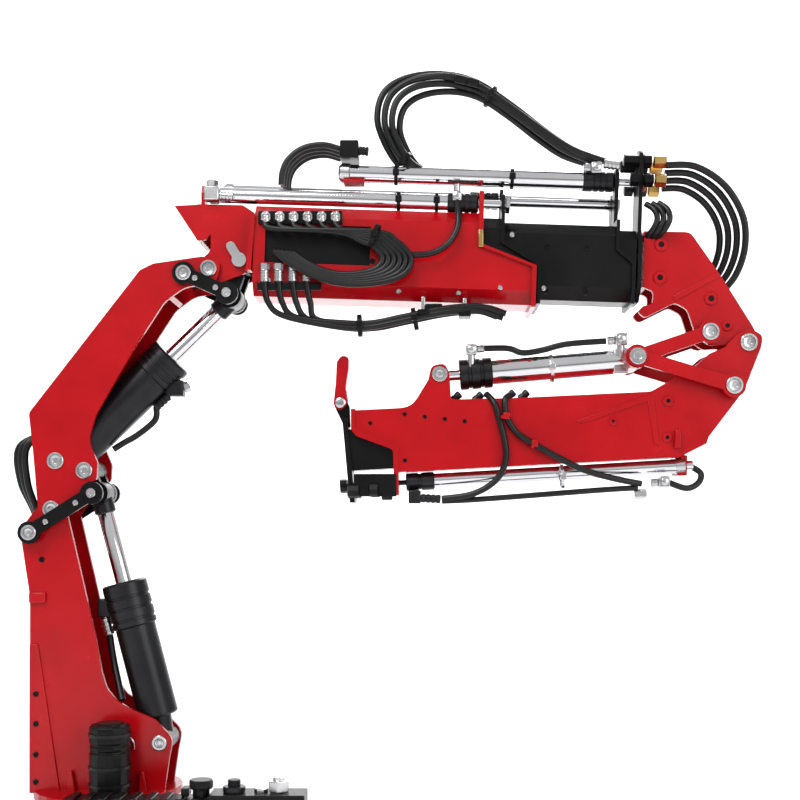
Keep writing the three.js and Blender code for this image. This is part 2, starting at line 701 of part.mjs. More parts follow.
function jibCylinder() {
  const { C3, D3 } = PIVOT;
  const reach = distance(C3, D3);
  const profile = [[3, 4.4], [3, 5.3], [57.6, 5.3], [57.6, 6.4], [71, 6.4], [71, 2.6], [12, 2.6]];
  const block0 = along(C3, D3, 4.6);
  const end = block(block0[0] - 3.4, block0[0] + 2.4, -5, 5, block0[1] - 5.2, block0[1] + 5.2);
  const eye = rod(C3, 4.4, -10.4, 10.4);
  add("jib_cylinder", join(turned(C3, D3, profile), end, eye), CHROME);
  const shank = turned(D3, C3, [[0, 2.3], [reach - 34, 2.3]], 0, 16);
  const rodEye = rod(D3, 3.4, -8.1, 8.1);
  add("jib_rod", cut(join(shank, rodEye), rod(D3, SMALL_PIN + GAP, -9, 9)), CHROME);
}

const JIB_TILT = THREE.MathUtils.degToRad(3.4);
const jibFrame = new THREE.Group();
jibFrame.position.set(120, 0, 165);
jibFrame.rotation.y = -JIB_TILT;
jibFrame.updateMatrixWorld(true);
// The jib extension's section in the jib's own tilted frame: half width, bottom and top.
const STICK = { half: 7.2, low: -9.9, high: 7 };
const JIB_RAM = { y: 4.4, v: -15.8, radius: 2.9 };

const inJibFrame = (geometry) => geometry.clone().applyMatrix4(jibFrame.matrixWorld);

function jibArm() {
  const { B3, P3, D3 } = PIVOT;
  const cheek = outline([
    [101, 178.2],
    [124.6, 179.4, 8],
    [131.4, 190.6, 2],
    [132.6, 196.2, 3],
    [138.4, 197.4, 3],
    [140, 192.5, 3],
    [140.6, 182.6, 1.5],
    [168.7, 183.3],
    [221.4, 185.8, 6],
    [238.2, 195.3],
    [245, 201.2, 3],
    [251, 203.6, 3],
    [255.4, 208.4, 3],
    [260.5, 211.4, 4],
    [266.6, 208.6, 4],
    [265.6, 203.4, 4],
    [258.9, 186.4, 6],
    [244.6, 167.6],
    [243.6, 164.8],
    [233, 159.4],
    [119, 153.2],
    [118.4, 163.6, 2],
    [103.4, 169, 2],
    [101, 171.6],
  ]);
  withHoles(cheek, [B3, PIN + GAP], [P3, PIN + GAP], [D3, SMALL_PIN + GAP]);
  const flange = outline([
    [100.2, 178.8],
    [100.2, 170.4, 2],
    [102.4, 167.8, 2],
    [117.2, 162.4, 2.5],
    [117.6, 144],
    [119.6, 144],
    [119.2, 164, 2.5],
    [104, 169.8, 2],
    [102, 171.4, 2],
    [102, 178.8],
  ]);
  const inside = LAYER.jib[0] + 0.4;
  const webs = [
    outline([[101, 178.2], [124.6, 179.4], [140, 182.2], [221.4, 185.8], [221.4, 184.2], [140, 180.8], [101, 176.8]]),
    outline([[119, 153.2], [233, 159.4], [243.6, 164.8], [244.6, 167.6], [258.4, 185.8], [257, 186.6]]
      .concat([[243.4, 168.6], [242.6, 166], [232.6, 160.9], [119, 154.6]])),
  ].map((shape) => slab(shape, -inside, inside));
  const body = join(...pair(cheek, LAYER.jib), slab(flange, -10.9, 10.9), ...webs);
  const opening = inJibFrame(block(-30, 6, -7.6, 7.6, STICK.low - 0.4, STICK.high + 0.4));
  const ramHoles = [-1, 1].map((side) => inJibFrame(ramBore(-12, 4, { y: side * JIB_RAM.y, v: JIB_RAM.v }, 2.2)));
  add("jib_arm", cut(body, opening, ...ramHoles), RED);
  add("jib_link_pin_lower", pin(B3, [[15.4, PIN]]), STEEL);
  add("jib_rod_pin", pin(D3, [[10.8, SMALL_PIN], [11.4, 3]]), STEEL);
}

function jibExtension() {
  const box = new THREE.Shape([[-1, -1], [1, -1], [1, 1], [-1, 1]].map(([y, v]) => {
    return new THREE.Vector2(y * STICK.half, v < 0 ? STICK.low : STICK.high);
  }));
  box.holes.push(new THREE.Path([[-1, -1], [1, -1], [1, 1], [-1, 1]].map(([y, v]) => {
    return new THREE.Vector2(y * (STICK.half - 1.2), v < 0 ? STICK.low + 1.2 : STICK.high - 1.2);
  })));
  const stick = inJibFrame(prism(box, -21.6, 70));
  const tip = slab(outline([[96.5, 175.4], [98.4, 175.4], [101.7, 141], [99.6, 141]]), -8.6, 8.6);
  const lug = slab(outline([[97, 172], [99.4, 172], [99.2, 180.4, 2], [97.4, 184, 2], [93.4, 184, 2], [93, 180.4, 2]]), -1.8, 1.8);
  const pivot = rod([95.6, 181.7], 1.5, -4, 4);
  const shanks = [-1, 1].map((side) => {
    const profile = [[0, 2.8], [2.6, 2.8], [2.6, 1], [100, 1]];
    return inJibFrame(turned([-25.5, JIB_RAM.v], [10, JIB_RAM.v], profile, side * JIB_RAM.y, 10));
  });
  add("jib_extension", cut(join(stick, tip, lug, ...shanks), pivot), BLACK);
}

// The two rams that push the jib extension out lie side by side under the jib.
function jibRams() {
  const { radius, y, v } = JIB_RAM;
  const profile = [[110, 1.3], [0, 1.3], [0, 3.6], [11.6, 3.6], [11.6, radius], [113, radius], [113, 2], [117, 2]];
  for (const [side, sign] of [["near", -1], ["far", 1]]) {
    add(`jib_ram_${side}`, inJibFrame(turned([1.4, v], [10, v], profile, sign * y, 12)), CHROME);
  }
}

function hookLever() {
  const lever = outline([
    [92.6, 180.6, 3],
    [93.6, 190, 20],
    [94, 198.6, 3],
    [96, 201.2, 2],
    [99, 200.6, 2],
    [98.8, 195.6, 4],
    [97.6, 188, 10],
    [98.6, 181.6, 3],
    [95.6, 178.2, 3],
  ]);
  const slot = block(80, 110, -2.2, 2.2, 170, 187);
  const bar = rod([95.6, 181.7], 1.2, -4.4, 4.4, 16);
  add("hook_lever", join(cut(slab(lever, -3.9, 3.9), slot), bar), RED);
}

// ---- hoses, as plain bundles --------------------------------------------------------------------
// From the tie on the third ram, up and over, back to the unions in the end plate.
const TOP_LOOP = [
  [118.5, 0, 283.4], [113.5, 0, 289.5], [110.4, 0, 299.4], [112.9, 0, 310], [121.8, 0, 316.7], [136.2, 0, 318.6],
  [150.6, 0, 314.7], [165, 0, 305.6], [181.5, 0, 293.4], [193, 0, 286], [205, 0, 281.6],
];
// From the unions, over the jib bracket and down behind it.
const OUTLET = [
  [227.5, 0, 277], [240, 1, 277.5], [252, 3, 270], [259.6, 6, 258], [261, 9, 246], [258, 12, 235], [252, 13.4, 227],
];
// Between the first and second rams and the rear end of the third.
const SMALL_LOOP = [[71.4, 1.5, 271.6], [73.9, 1.5, 280.3], [80.5, 1.2, 285.7], [88.7, 1, 287], [95.8, 0, 285.2]];
// The loop on the near side of the outer boom.
const SIDE_LOOP = [
  [80.3, -18, 252.5], [98.2, -18.4, 250.1], [114.1, -18.6, 246.1], [123.2, -18.6, 240.6], [124, -18.6, 235],
  [118.1, -18.6, 229.4], [104.2, -18.6, 225.5], [88.3, -18.4, 227.5], [74.3, -18.2, 234.2], [67.6, -18, 242.2],
];
// From the fittings under the window, along the underside of the outer boom.
const LOWER_RUN = [
  [72, -17, 226], [78, -14.6, 217], [92, -9, 211.5], [108, -6, 212], [130, -4, 215.6], [150, -4, 217], [158, -4, 215.6],
];

function hoses() {
  const bundle = (name, points, radius, steps) => add(name, tube(points, radius, steps), RUBBER);
  bundle("top_loop_hoses", TOP_LOOP, 3, 24);
  bundle("outlet_hoses", OUTLET, 3, 14);
  bundle("small_loop_hoses", SMALL_LOOP, 2.5, 8);
  bundle("side_hoses", SIDE_LOOP, 3.4, 20);
  bundle("lower_hoses", LOWER_RUN, 2.6, 14);
}

// ---- build --------------------------------------------------------------------------------------
base();
slewRing();
valveGroup();
column();
liftGroup();
knuckleGroup();
innerBoom();
outerBoom();
extensions();
jibBracket();
jibLinks("jib_link_upper", PIVOT.A3, PIVOT.C3, LAYER.jibUpper, 0);
jibLinks("jib_link_lower", PIVOT.B3, PIVOT.C3, LAYER.jibLower, 4);
jibCylinder();
jibArm();
jibExtension();
jibRams();
hookLever();
hoses();

export default root;
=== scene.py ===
"""Looks for the hydraulic arm kit: a folding loader crane arm at model scale.

Places are in millimetres in the row frame, as in the CAD source, and MM turns them into metres.
"""
import json
import math

import bpy
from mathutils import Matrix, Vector


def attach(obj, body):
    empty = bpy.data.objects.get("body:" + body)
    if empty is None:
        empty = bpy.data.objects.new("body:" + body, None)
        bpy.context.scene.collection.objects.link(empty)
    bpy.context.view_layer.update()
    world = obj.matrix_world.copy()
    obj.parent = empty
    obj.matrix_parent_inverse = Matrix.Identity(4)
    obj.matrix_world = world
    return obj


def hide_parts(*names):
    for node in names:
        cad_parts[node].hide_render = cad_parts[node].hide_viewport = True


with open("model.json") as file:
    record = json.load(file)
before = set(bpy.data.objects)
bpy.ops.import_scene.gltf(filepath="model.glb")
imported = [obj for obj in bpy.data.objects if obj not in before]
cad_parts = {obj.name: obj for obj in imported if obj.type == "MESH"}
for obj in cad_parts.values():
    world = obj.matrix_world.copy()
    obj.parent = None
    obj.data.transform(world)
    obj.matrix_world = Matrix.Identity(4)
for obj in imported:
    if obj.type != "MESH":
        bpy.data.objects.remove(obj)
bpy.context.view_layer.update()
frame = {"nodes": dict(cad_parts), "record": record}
scene = bpy.context.scene
MM = 0.001

# ---- the CAD's driving places -------------------------------------------------------------------
A1, P1, B1, C1, D1 = (-28.3, 129), (-20, 138.4), (-6.8, 153.9), (-3.3, 144.8), (23, 44.1)
A2, P2, C2, D2 = (33.5, 232.8), (43.1, 235), (50.7, 224.9), (-18.3, 157.8)
A3, P3, B3, C3, D3 = (244.8, 209.7), (260.7, 205.7), (253.8, 187.9), (215, 199.5), (136, 192.9)
BOOM_TILT = math.radians(1.9)
JIB_TILT = math.radians(3.4)
NEAR_RAM, FAR_RAM, TOP_RAM = (-7, 25.3), (8.6, 30.4), (0, 37.7)


def on_boom(u, y, v):
    """A place in the outer boom's tilted frame, as a place in the row frame."""
    c, s = math.cos(BOOM_TILT), math.sin(BOOM_TILT)
    return (60 + u * c + v * s, y, 240 - u * s + v * c)


def on_jib(u, y, v):
    """A place in the jib's tilted frame, as a place in the row frame."""
    c, s = math.cos(JIB_TILT), math.sin(JIB_TILT)
    return (120 + u * c - v * s, y, 165 + u * s + v * c)


def between(a, b, share):
    """The place that lies at a share of the way from a to b, each an (x, z) pair."""
    return tuple(p + (q - p) * share for p, q in zip(a, b))


# ---- camera -------------------------------------------------------------------------------------
def make_camera():
    data = bpy.data.cameras.new("camera")
    data.sensor_width = 36
    data.lens = 57.2
    data.shift_x = -0.031
    data.shift_y = 0.1375
    camera = bpy.data.objects.new("camera", data)
    camera.location = (0.130, -0.523, 0.138)
    camera.rotation_euler = (math.radians(90), 0, 0)
    scene.collection.objects.link(camera)
    scene.camera = camera


# ---- materials ----------------------------------------------------------------------------------
def make_material(name, colour, roughness, metallic=0.0, coat=0.0, grain=900, relief=0.04, wear=0.12, rings=0,
                  specular=0.5):
    """A procedural finish: tone and gloss drift over the surface, over a fine relief."""
    material = bpy.data.materials.new(name)
    material.use_nodes = True
    tree = material.node_tree
    nodes, links = tree.nodes, tree.links
    shader = nodes["Principled BSDF"]
    shader.inputs["Metallic"].default_value = metallic
    shader.inputs["Coat Weight"].default_value = coat
    shader.inputs["Coat Roughness"].default_value = 0.12
    shader.inputs["Specular IOR Level"].default_value = specular
    place = nodes.new("ShaderNodeTexCoord")
    broad = nodes.new("ShaderNodeTexNoise")
    broad.inputs["Scale"].default_value = 60
    broad.inputs["Detail"].default_value = 6
    links.new(place.outputs["Object"], broad.inputs["Vector"])
    tone = nodes.new("ShaderNodeValToRGB")
    tone.color_ramp.elements[0].position = 0.32
    tone.color_ramp.elements[1].position = 0.72
    tone.color_ramp.elements[0].color = (*[c * (1 - wear) for c in colour], 1)
    tone.color_ramp.elements[1].color = (*[min(1, c * (1 + wear)) for c in colour], 1)
    links.new(broad.outputs["Fac"], tone.inputs["Fac"])
    links.new(tone.outputs["Color"], shader.inputs["Base Color"])
    gloss = nodes.new("ShaderNodeMapRange")
    gloss.inputs["To Min"].default_value = roughness * 0.8
    gloss.inputs["To Max"].default_value = min(1, roughness * 1.3)
    links.new(broad.outputs["Fac"], gloss.inputs["Value"])
    links.new(gloss.outputs["Result"], shader.inputs["Roughness"])
    if rings:
        fine = nodes.new("ShaderNodeTexWave")
        fine.bands_direction = "X"
        fine.inputs["Scale"].default_value = rings
        fine.inputs["Distortion"].default_value = 1.5
    else:
        fine = nodes.new("ShaderNodeTexNoise")
        fine.inputs["Scale"].default_value = grain
        fine.inputs["Detail"].default_value = 3
    links.new(place.outputs["Object"], fine.inputs["Vector"])
    bump = nodes.new("ShaderNodeBump")
    bump.inputs["Strength"].default_value = relief
    bump.inputs["Distance"].default_value = 0.0004
    links.new(fine.outputs["Fac"], bump.inputs["Height"])
    links.new(bump.outputs["Normal"], shader.inputs["Normal"])
    return material


FINISH = {
    "red_paint": make_material("red_paint", (0.40, 0.0015, 0.005), 0.24, coat=0.1, grain=500, wear=0.1,
                               specular=0.28),
    "black_paint": make_material("black_paint", (0.004, 0.004, 0.0045), 0.3, grain=1500, relief=0.08,
                                 wear=0.3, specular=0.2),
    "black_anodised": make_material("black_anodised", (0.022, 0.022, 0.024), 0.3, 0.7, grain=2500, wear=0.25),
    "chrome": make_material("chrome", (0.78, 0.78, 0.80), 0.09, 1.0, rings=260, relief=0.015, wear=0.06),
    "steel": make_material("steel", (0.66, 0.66, 0.67), 0.24, 1.0, grain=1800, relief=0.08),
    "brass": make_material("brass", (0.62, 0.42, 0.15), 0.26, 1.0, grain=1200, relief=0.06),
    "hose_rubber": make_material("hose_rubber", (0.005, 0.005, 0.0055), 0.3, grain=2200, relief=0.15,
                                 wear=0.3, specular=0.35),
}


# ---- shapes -------------------------------------------------------------------------------------
def dress(obj, body, slot, bevel=0.0):
    """Gives a finished mesh its material, soft edges and body."""
    obj.data.materials.append(FINISH[slot])
    if bevel:
        edge = obj.modifiers.new("edges", "BEVEL")
        edge.width = bevel * MM
        edge.segments = 2
        edge.limit_method = "ANGLE"
        edge.angle_limit = math.radians(35)
    scene.collection.objects.link(obj)
    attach(obj, body)
    return obj


def mesh_of(name, points, faces):
    mesh = bpy.data.meshes.new(name)
    mesh.from_pydata([Vector(p) * MM for p in points], [], faces)
    mesh.update()
    mesh.shade_smooth()
    mesh.set_sharp_from_angle(angle=math.radians(32))
    return bpy.data.objects.new(name, mesh)


def lathe(name, start, end, profile, body, slot, sides=40):
    """Turns a profile of (distance from start, radius) round the line from start towards end."""
    start, end = Vector(start), Vector(end)
    axis = (end - start).normalized()
    helper = Vector((1, 0, 0)) if abs(axis.y) > 0.5 else Vector((0, 1, 0))
    side = axis.cross(helper).normalized()
    up = axis.cross(side)
    points = []
    for far, radius in profile:
        for k in range(sides):
            turn = 2 * math.pi * k / sides
            points.append(start + axis * far + (side * math.cos(turn) + up * math.sin(turn)) * radius)
    faces = []
    for ring in range(len(profile) - 1):
        for k in range(sides):
            nxt = (k + 1) % sides
            low, high = ring * sides, (ring + 1) * sides
            faces.append((low + k, low + nxt, high + nxt, high + k))
    last = (len(profile) - 1) * sides
    faces.append(tuple(reversed(range(sides))))
    faces.append(tuple(last + k for k in range(sides)))
    return dress(mesh_of(name, points, faces), body, slot)


def block(name, low, high, body, slot, bevel=0.4):
    """A box with softened edges."""
    (x0, y0, z0), (x1, y1, z1) = low, high
    points = [(x, y, z) for x in (x0, x1) for y in (y0, y1) for z in (z0, z1)]
    faces = [(0, 1, 3, 2), (4, 6, 7, 5), (0, 4, 5, 1), (2, 3, 7, 6), (0, 2, 6, 4), (1, 5, 7, 3)]
    return dress(mesh_of(name, points, faces), body, slot, bevel)


def plate(name, corners, y0, y1, body, slot, bevel=0.25):
    """An outline in X and Z, thick from y0 to y1."""
    count = len(corners)
    points = [(x, y, z) for y in (y0, y1) for x, z in corners]
    faces = [tuple(range(count)), tuple(reversed(range(count, 2 * count)))]
    for k in range(count):
        nxt = (k + 1) % count
        faces.append((k, k + count, nxt + count, nxt))
    return dress(mesh_of(name, points, faces), body, slot, bevel)


def smooth_route(points, per_span=8):
    """Points close together on a smooth line through the given ones."""
    ends = [points[0], *points, points[-1]]
    route = []
    for k in range(1, len(ends) - 2):
        a, b, c, d = (Vector(p) for p in ends[k - 1:k + 3])
        for step in range(per_span):
            t = step / per_span
            route.append(0.5 * (2 * b + (c - a) * t + (2 * a - 5 * b + 4 * c - d) * t * t
                                + (3 * b - a - 3 * c + d) * t ** 3))
    route.append(Vector(points[-1]))
    return route


def hose(name, points, radius, body, slot="hose_rubber"):
    """A round tube along a smooth line, as a curve."""
    route = smooth_route(points)
    curve = bpy.data.curves.new(name, "CURVE")
    curve.dimensions = "3D"
    curve.bevel_depth = radius * MM
    curve.bevel_resolution = 5
    curve.use_fill_caps = True
    spline = curve.splines.new("POLY")
    spline.points.add(len(route) - 1)
    for point, place in zip(spline.points, route):
        point.co = (*(place * MM), 1)
    obj = bpy.data.objects.new(name, curve)
    return dress(obj, body, slot), route


def free_hose(name, points, radius, body):
    """A hose that hangs free between two fittings."""
    obj, route = hose(name, points, radius, body)
    return obj


# ---- the CAD nodes, with soft edges and their finishes ------------------------------------------
def finish_cad():
    slots = {row["node"]: row["material_slot"] for row in frame["record"]["subparts"]}
    for name, obj in frame["nodes"].items():
        obj.data.materials.clear()
        obj.data.materials.append(FINISH[slots[name]])
        weld = obj.modifiers.new("weld", "WELD")
        weld.merge_threshold = 0.00001
        flat = obj.modifiers.new("flat", "DECIMATE")
        flat.decimate_type = "DISSOLVE"
        flat.angle_limit = math.radians(0.5)
        edge = obj.modifiers.new("edges", "BEVEL")
        edge.width = 0.35 * MM
        edge.segments = 2
        edge.limit_method = "ANGLE"
        edge.angle_limit = math.radians(35)


# ---- room ---------------------------------------------------------------------------------------
def area_light(name, place, target, size, power):
    data = bpy.data.lights.new(name, "AREA")
    data.energy = power
    data.size = size
    light = bpy.data.objects.new(name, data)
    light.location = place
    light.rotation_euler = (Vector(target) - Vector(place)).to_track_quat("-Z", "Y").to_euler()
    scene.collection.objects.link(light)


def make_floor():
    """A pale floor that curves up into a backdrop far behind the arm."""
    profile = [(-3, 0), (3, 0)]
    for k in range(1, 13):
        turn = math.pi / 2 * k / 12
        profile.append((3 + 1.2 * math.sin(turn), 1.2 - 1.2 * math.cos(turn)))
    profile.append((4.2, 5))
    points = [(x, y, z - 0.0005) for y, z in profile for x in (-6, 6)]
    faces = [(2 * k, 2 * k + 1, 2 * k + 3, 2 * k + 2) for k in range(len(profile) - 1)]
    mesh = bpy.data.meshes.new("floor")
    mesh.from_pydata(points, [], faces)
    mesh.shade_smooth()
    floor = bpy.data.objects.new("floor", mesh)
    scene.collection.objects.link(floor)
    material = bpy.data.materials.new("pale_floor")
    material.use_nodes = True
    shader = material.node_tree.nodes["Principled BSDF"]
    shader.inputs["Base Color"].default_value = (0.86, 0.86, 0.87, 1)
    shader.inputs["Roughness"].default_value = 0.8
    mesh.materials.append(material)


def make_sky():
    """Soft light all round, darker towards the ground, so that chrome shows streaks."""
    world = bpy.data.worlds.new("studio")
    world.use_nodes = True
    nodes, links = world.node_tree.nodes, world.node_tree.links
    place = nodes.new("ShaderNodeTexCoord")
    split = nodes.new("ShaderNodeSeparateXYZ")
    links.new(place.outputs["Generated"], split.inputs["Vector"])
    ramp = nodes.new("ShaderNodeValToRGB")
    ramp.color_ramp.elements[0].position = 0.42
    ramp.color_ramp.elements[0].color = (0.05, 0.05, 0.055, 1)
    ramp.color_ramp.elements[1].position = 0.62
    ramp.color_ramp.elements[1].color = (1, 1, 1, 1)
    scale = nodes.new("ShaderNodeMapRange")
    scale.inputs["From Min"].default_value = -1
    links.new(split.outputs["Z"], scale.inputs["Value"])
    links.new(scale.outputs["Result"], ramp.inputs["Fac"])
    background = nodes["Background"]
    links.new(ramp.outputs["Color"], background.inputs["Color"])
    background.inputs["Strength"].default_value = 0.6
    scene.world = world


def make_room():
    make_floor()
    make_sky()
    middle = (0.12, 0, 0.17)
    area_light("key", (-0.25, -0.6, 0.85), middle, 0.5, 6.5)
    area_light("fill", (0.8, -0.7, 0.4), middle, 0.6, 3)
    area_light("back", (0.3, 0.9, 0.9), middle, 0.6, 7)
    area_light("backdrop", (0.12, 1.2, 2.2), (0.12, 4.2, 0.8), 2.5, 190)
    scene.view_settings.view_transform = "Standard"


# ---- hoses --------------------------------------------------------------------------------------
TOP_LOOP = [
    (124, 277.5), (118.5, 281.5), (113.5, 289.5), (110.4, 299.4), (112.9, 310), (121.8, 316.4),
    (136.2, 318.2), (150.6, 314.7), (165, 305.6), (181.5, 293.4), (193, 286), (205, 281.6),
]
OUTLET = [(228, 278), (240, 277.5), (252, 270), (259.6, 258), (261, 246), (258, 235), (252, 227)]
SMALL_LOOP = [(71.4, 270.6), (71.9, 276), (74.5, 281.3), (80.5, 285.7), (88.7, 287), (95.8, 285.2)]
SIDE_LOOP = [
    (98, 250.5), (110, 248.4), (119, 244.4), (124.4, 238), (122.4, 232), (114, 228.4), (100, 227.4),
    (88, 230), (78, 235), (70, 241),
]
LOWER_RUN = [(84, 213.5), (96, 211), (108, 211), (120, 213.4), (136, 216.6), (150, 217.6), (159, 215)]
HOSE = 1.4


def nested(route, centre, shrink):
    """The same loop drawn smaller about a centre, for a hose that lies inside its neighbour."""
    return [(centre[0] + (x - centre[0]) * shrink, centre[1] + (z - centre[1]) * shrink) for x, z in route]


def make_hoses():
    first_of = {}

    def lead(obj, node):
        first_of.setdefault(node, obj)
        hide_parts(node)

    for k in range(4):
        route = nested(TOP_LOOP, (160, 279), 1 - 0.062 * k)
        points = [(x, 2 * math.cos(2.2 * k) + 0.8 * math.sin(x / 9 + 2 * k), z) for x, z in route]
        lead(free_hose(f"top_hose_{k + 1}", points, HOSE, "second_section"), "top_loop_hoses")
        route = nested(OUTLET, (228, 250), 1 - 0.085 * k)
        points = [(x, -7 + 3.1 * k + 9 * (n / 6) ** 2, z) for n, (x, z) in enumerate(route)]
        lead(free_hose(f"outlet_hose_{k + 1}", points, HOSE, "third_section"), "outlet_hoses")
        route = nested(SMALL_LOOP, (90, 271), 1 - 0.035 * k)
        points = [(x, -4.4 + 3.1 * k, z) for x, z in route]
        lead(free_hose(f"small_hose_{k + 1}", points, 1.25, "second_section"), "small_loop_hoses")
    for k in range(6):
        shrink = 1 - 0.07 * k
        route = [(66.6 + 5.5 * k, 252.4), (71.5 + 5 * k, 249.6)] + nested(SIDE_LOOP[1:], (92, 239), shrink)
        points = [(x, -17.3 - 2.6 * math.sin(math.pi * min(1, n / 11)), z) for n, (x, z) in enumerate(route)]
        lead(free_hose(f"side_hose_{k + 1}", points, 1.2, "outer_boom"), "side_hoses")
    for k in range(4):
        route = [(66 + 5.6 * k, 229.4), (67.4 + 5.6 * k, 221), (74 + 4.6 * k, 215.4 - 0.5 * k)]
        route += [(x + 1.2 * k, z + 1.7 * (k % 2)) for x, z in LOWER_RUN[1 + k // 3:]]
        points = [(x, -15.6 + 2.7 * (k // 2) * min(1, n / 3), z) for n, (x, z) in enumerate(route)]
        lead(free_hose(f"lower_hose_{k + 1}", points, 1.25, "outer_boom"), "lower_hoses")


# ---- small hardware -----------------------------------------------------------------------------
def stud(name, place, y, body, radius=1.2, slot="steel", height=1.2, sides=28):
    """A screw head with a socket, on the near side at y and its mirror image on the far side."""
    x, z = place
    profile = [(0, radius), (height - 0.3, radius), (height, radius - 0.3), (height, radius * 0.5),
               (height * 0.45, radius * 0.42)]
    for side, way in (("near", -1), ("far", 1)):
        start = (x, way * y, z)
        lathe(f"{name}_{side}", start, (x, way * (y + 1), z), profile, body, slot, sides)


def pin(node, place, reach, radius, body, flange=None):
    """A pivot pin right through its plates, with turned ends; a flange ring sits under each end."""
    x, z = place
    length = 2 * reach
    profile = [(0.9, radius * 0.42), (0.1, radius * 0.5), (0, radius * 0.82), (0.4, radius)]
    profile += [(length - far, wide) for far, wide in reversed(profile)]
    made = lathe(f"{node}_turned", (x, -reach, z), (x, reach, z), profile, body, "steel")
    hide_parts(node)
    if flange:
        wide, seat = flange
        ring = [(0, radius), (0, wide), (0.6, wide), (0.8, wide - 0.25), (0.8, radius)]
        for side, way in (("near", -1), ("far", 1)):
            hoop(f"{node}_ring_{side}", (x, way * seat, z), (x, way * (seat + 1), z), ring, body, "steel")


def hoop(name, start, end, profile, body, slot, sides=36):
    """A ring: the profile closes on itself, so the middle stays open."""
    start, end = Vector(start), Vector(end)
    axis = (end - start).normalized()
    helper = Vector((1, 0, 0)) if abs(axis.y) > 0.5 else Vector((0, 1, 0))
    side = axis.cross(helper).normalized()
    up = axis.cross(side)
    points = []
    for far, radius in profile:
        for k in range(sides):
            turn = 2 * math.pi * k / sides
            points.append(start + axis * far + (side * math.cos(turn) + up * math.sin(turn)) * radius)
    faces = []
    for ring in range(len(profile)):
        low, high = ring * sides, ((ring + 1) % len(profile)) * sides
        for k in range(sides):
            nxt = (k + 1) % sides
            faces.append((low + k, low + nxt, high + nxt, high + k))
    return dress(mesh_of(name, points, faces), body, slot)


def sleeve(name, start, end, radius, body, slot="steel", ribs=3):
    """A crimped hose sleeve with grooves pressed round it."""
    length = (Vector(end) - Vector(start)).length
    profile = [(0, radius * 0.75), (0.3, radius)]
    for k in range(1, ribs + 1):
        at = length * k / (ribs + 1)
        profile += [(at - 0.4, radius), (at - 0.15, radius * 0.86), (at + 0.15, radius * 0.86),
                    (at + 0.4, radius)]
    profile += [(length - 0.3, radius), (length, radius * 0.8)]
    return lathe(name, start, end, profile, body, slot, 28)


def nut(name, start, end, radius, body, slot="steel"):
    """A hexagon nut with a collar at each face."""
    length = (Vector(end) - Vector(start)).length
    profile = [(0, radius * 0.82), (0.25, radius), (length - 0.25, radius), (length, radius * 0.82)]
    return lathe(name, start, end, profile, body, slot, 6)


def cable_tie(name, centre, along_axis, radius, body, slot="black_paint", width=1.8):
    """A strap round a bundle, with its square head on the near side."""
    centre, axis = Vector(centre), Vector(along_axis).normalized()
    start = centre - axis * (width / 2)
    profile = [(0, radius), (width, radius), (width, radius + 0.5), (0, radius + 0.5)]
    hoop(name, start, start + axis, profile, body, slot)
    low = centre + Vector((-1.3, -radius - 1.9, -1.3))
    high = centre + Vector((1.3, -radius - 0.2, 1.3))
    block(f"{name}_head", low, high, body, slot, 0.3)


def elbow(name, place, body, slot="steel", half=2.2, cap=None):
    """A square elbow fitting with a turned collar, and a knurled cap on the side named by cap."""
    x, y, z = place
    block(name, (x - half, y - half, z - half), (x + half, y + half, z + half), body, slot, 0.5)
    if cap:
        end = Vector(place) + Vector(cap) * (half + 3)
        start = Vector(place) + Vector(cap) * half
        sleeve(f"{name}_cap", start, end, half * 0.8, body, slot, 4)
    collar = [(0, 1.1), (0.2, 1.5), (0.9, 1.5), (1.1, 1.1)]
    lathe(f"{name}_screw", (x, y - half, z), (x, y - half - 1, z), collar, body, slot, 24)


# ---- cylinders and rams -------------------------------------------------------------------------
def barrel_profile(start, head_start, head_end, radius, head_radius):
    """The CAD's barrel, with finer grooves round the head."""
    profile = [(start, radius - 1.2), (start + 0.4, radius - 0.4), (start + 1, radius), (head_start, radius)]
    profile += [(head_start + 0.6, head_radius)]
    for k in range(3):
        at = head_start + 2.6 + k * (head_end - head_start - 5) / 3
        profile += [(at, head_radius), (at + 0.2, head_radius - 0.5), (at + 1, head_radius - 0.5),
                    (at + 1.2, head_radius)]
    profile += [(head_end - 1, head_radius), (head_end - 0.3, head_radius - 0.5),
                (head_end, head_radius - 1.2)]
    return profile + [(head_end, 3.8), (start + 6, 3.8)]


def big_cylinder(which, foot, head, profile, eye, reach, barrel_body, rod_body):
    """A lifting cylinder: black barrel with its foot eye, chrome rod with its head eye."""
    foot3, head3 = (foot[0], 0, foot[1]), (head[0], 0, head[1])
    barrel = lathe(f"{which}_barrel", foot3, head3, profile, barrel_body, "black_anodised", 56)
    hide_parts(f"{which}_cylinder")
    neck = [(0, 4), (profile[0][0] + 0.6, 5.2)]
    lathe(f"{which}_neck", foot3, head3, neck, barrel_body, "black_anodised")
    ring = [(0, 2.4), (0, eye - 0.3), (0.3, eye), (14.5, eye), (14.8, eye - 0.3), (14.8, 2.4)]
    hoop(f"{which}_foot_eye", (foot[0], -7.4, foot[1]), (foot[0], 1, foot[1]), ring, barrel_body,
         "black_anodised")
    rod = lathe(f"{which}_piston_rod", head3, foot3, [(1.8, 3.2), (2.2, 3.4), (reach, 3.4)], rod_body,
                "chrome", 48)
    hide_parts(f"{which}_rod")
    boss = [(2, 3.9), (2.4, 4.3), (8, 4.3), (8.5, 3.6)]
    lathe(f"{which}_rod_boss", head3, foot3, boss, rod_body, "black_anodised")
    ring = [(0, 1.6), (0, 4.4), (0.3, 4.7), (8.9, 4.7), (9.2, 4.4), (9.2, 1.6)]
    hoop(f"{which}_rod_eye", (head[0], -4.6, head[1]), (head[0], 1, head[1]), ring, rod_body,
         "black_anodised")


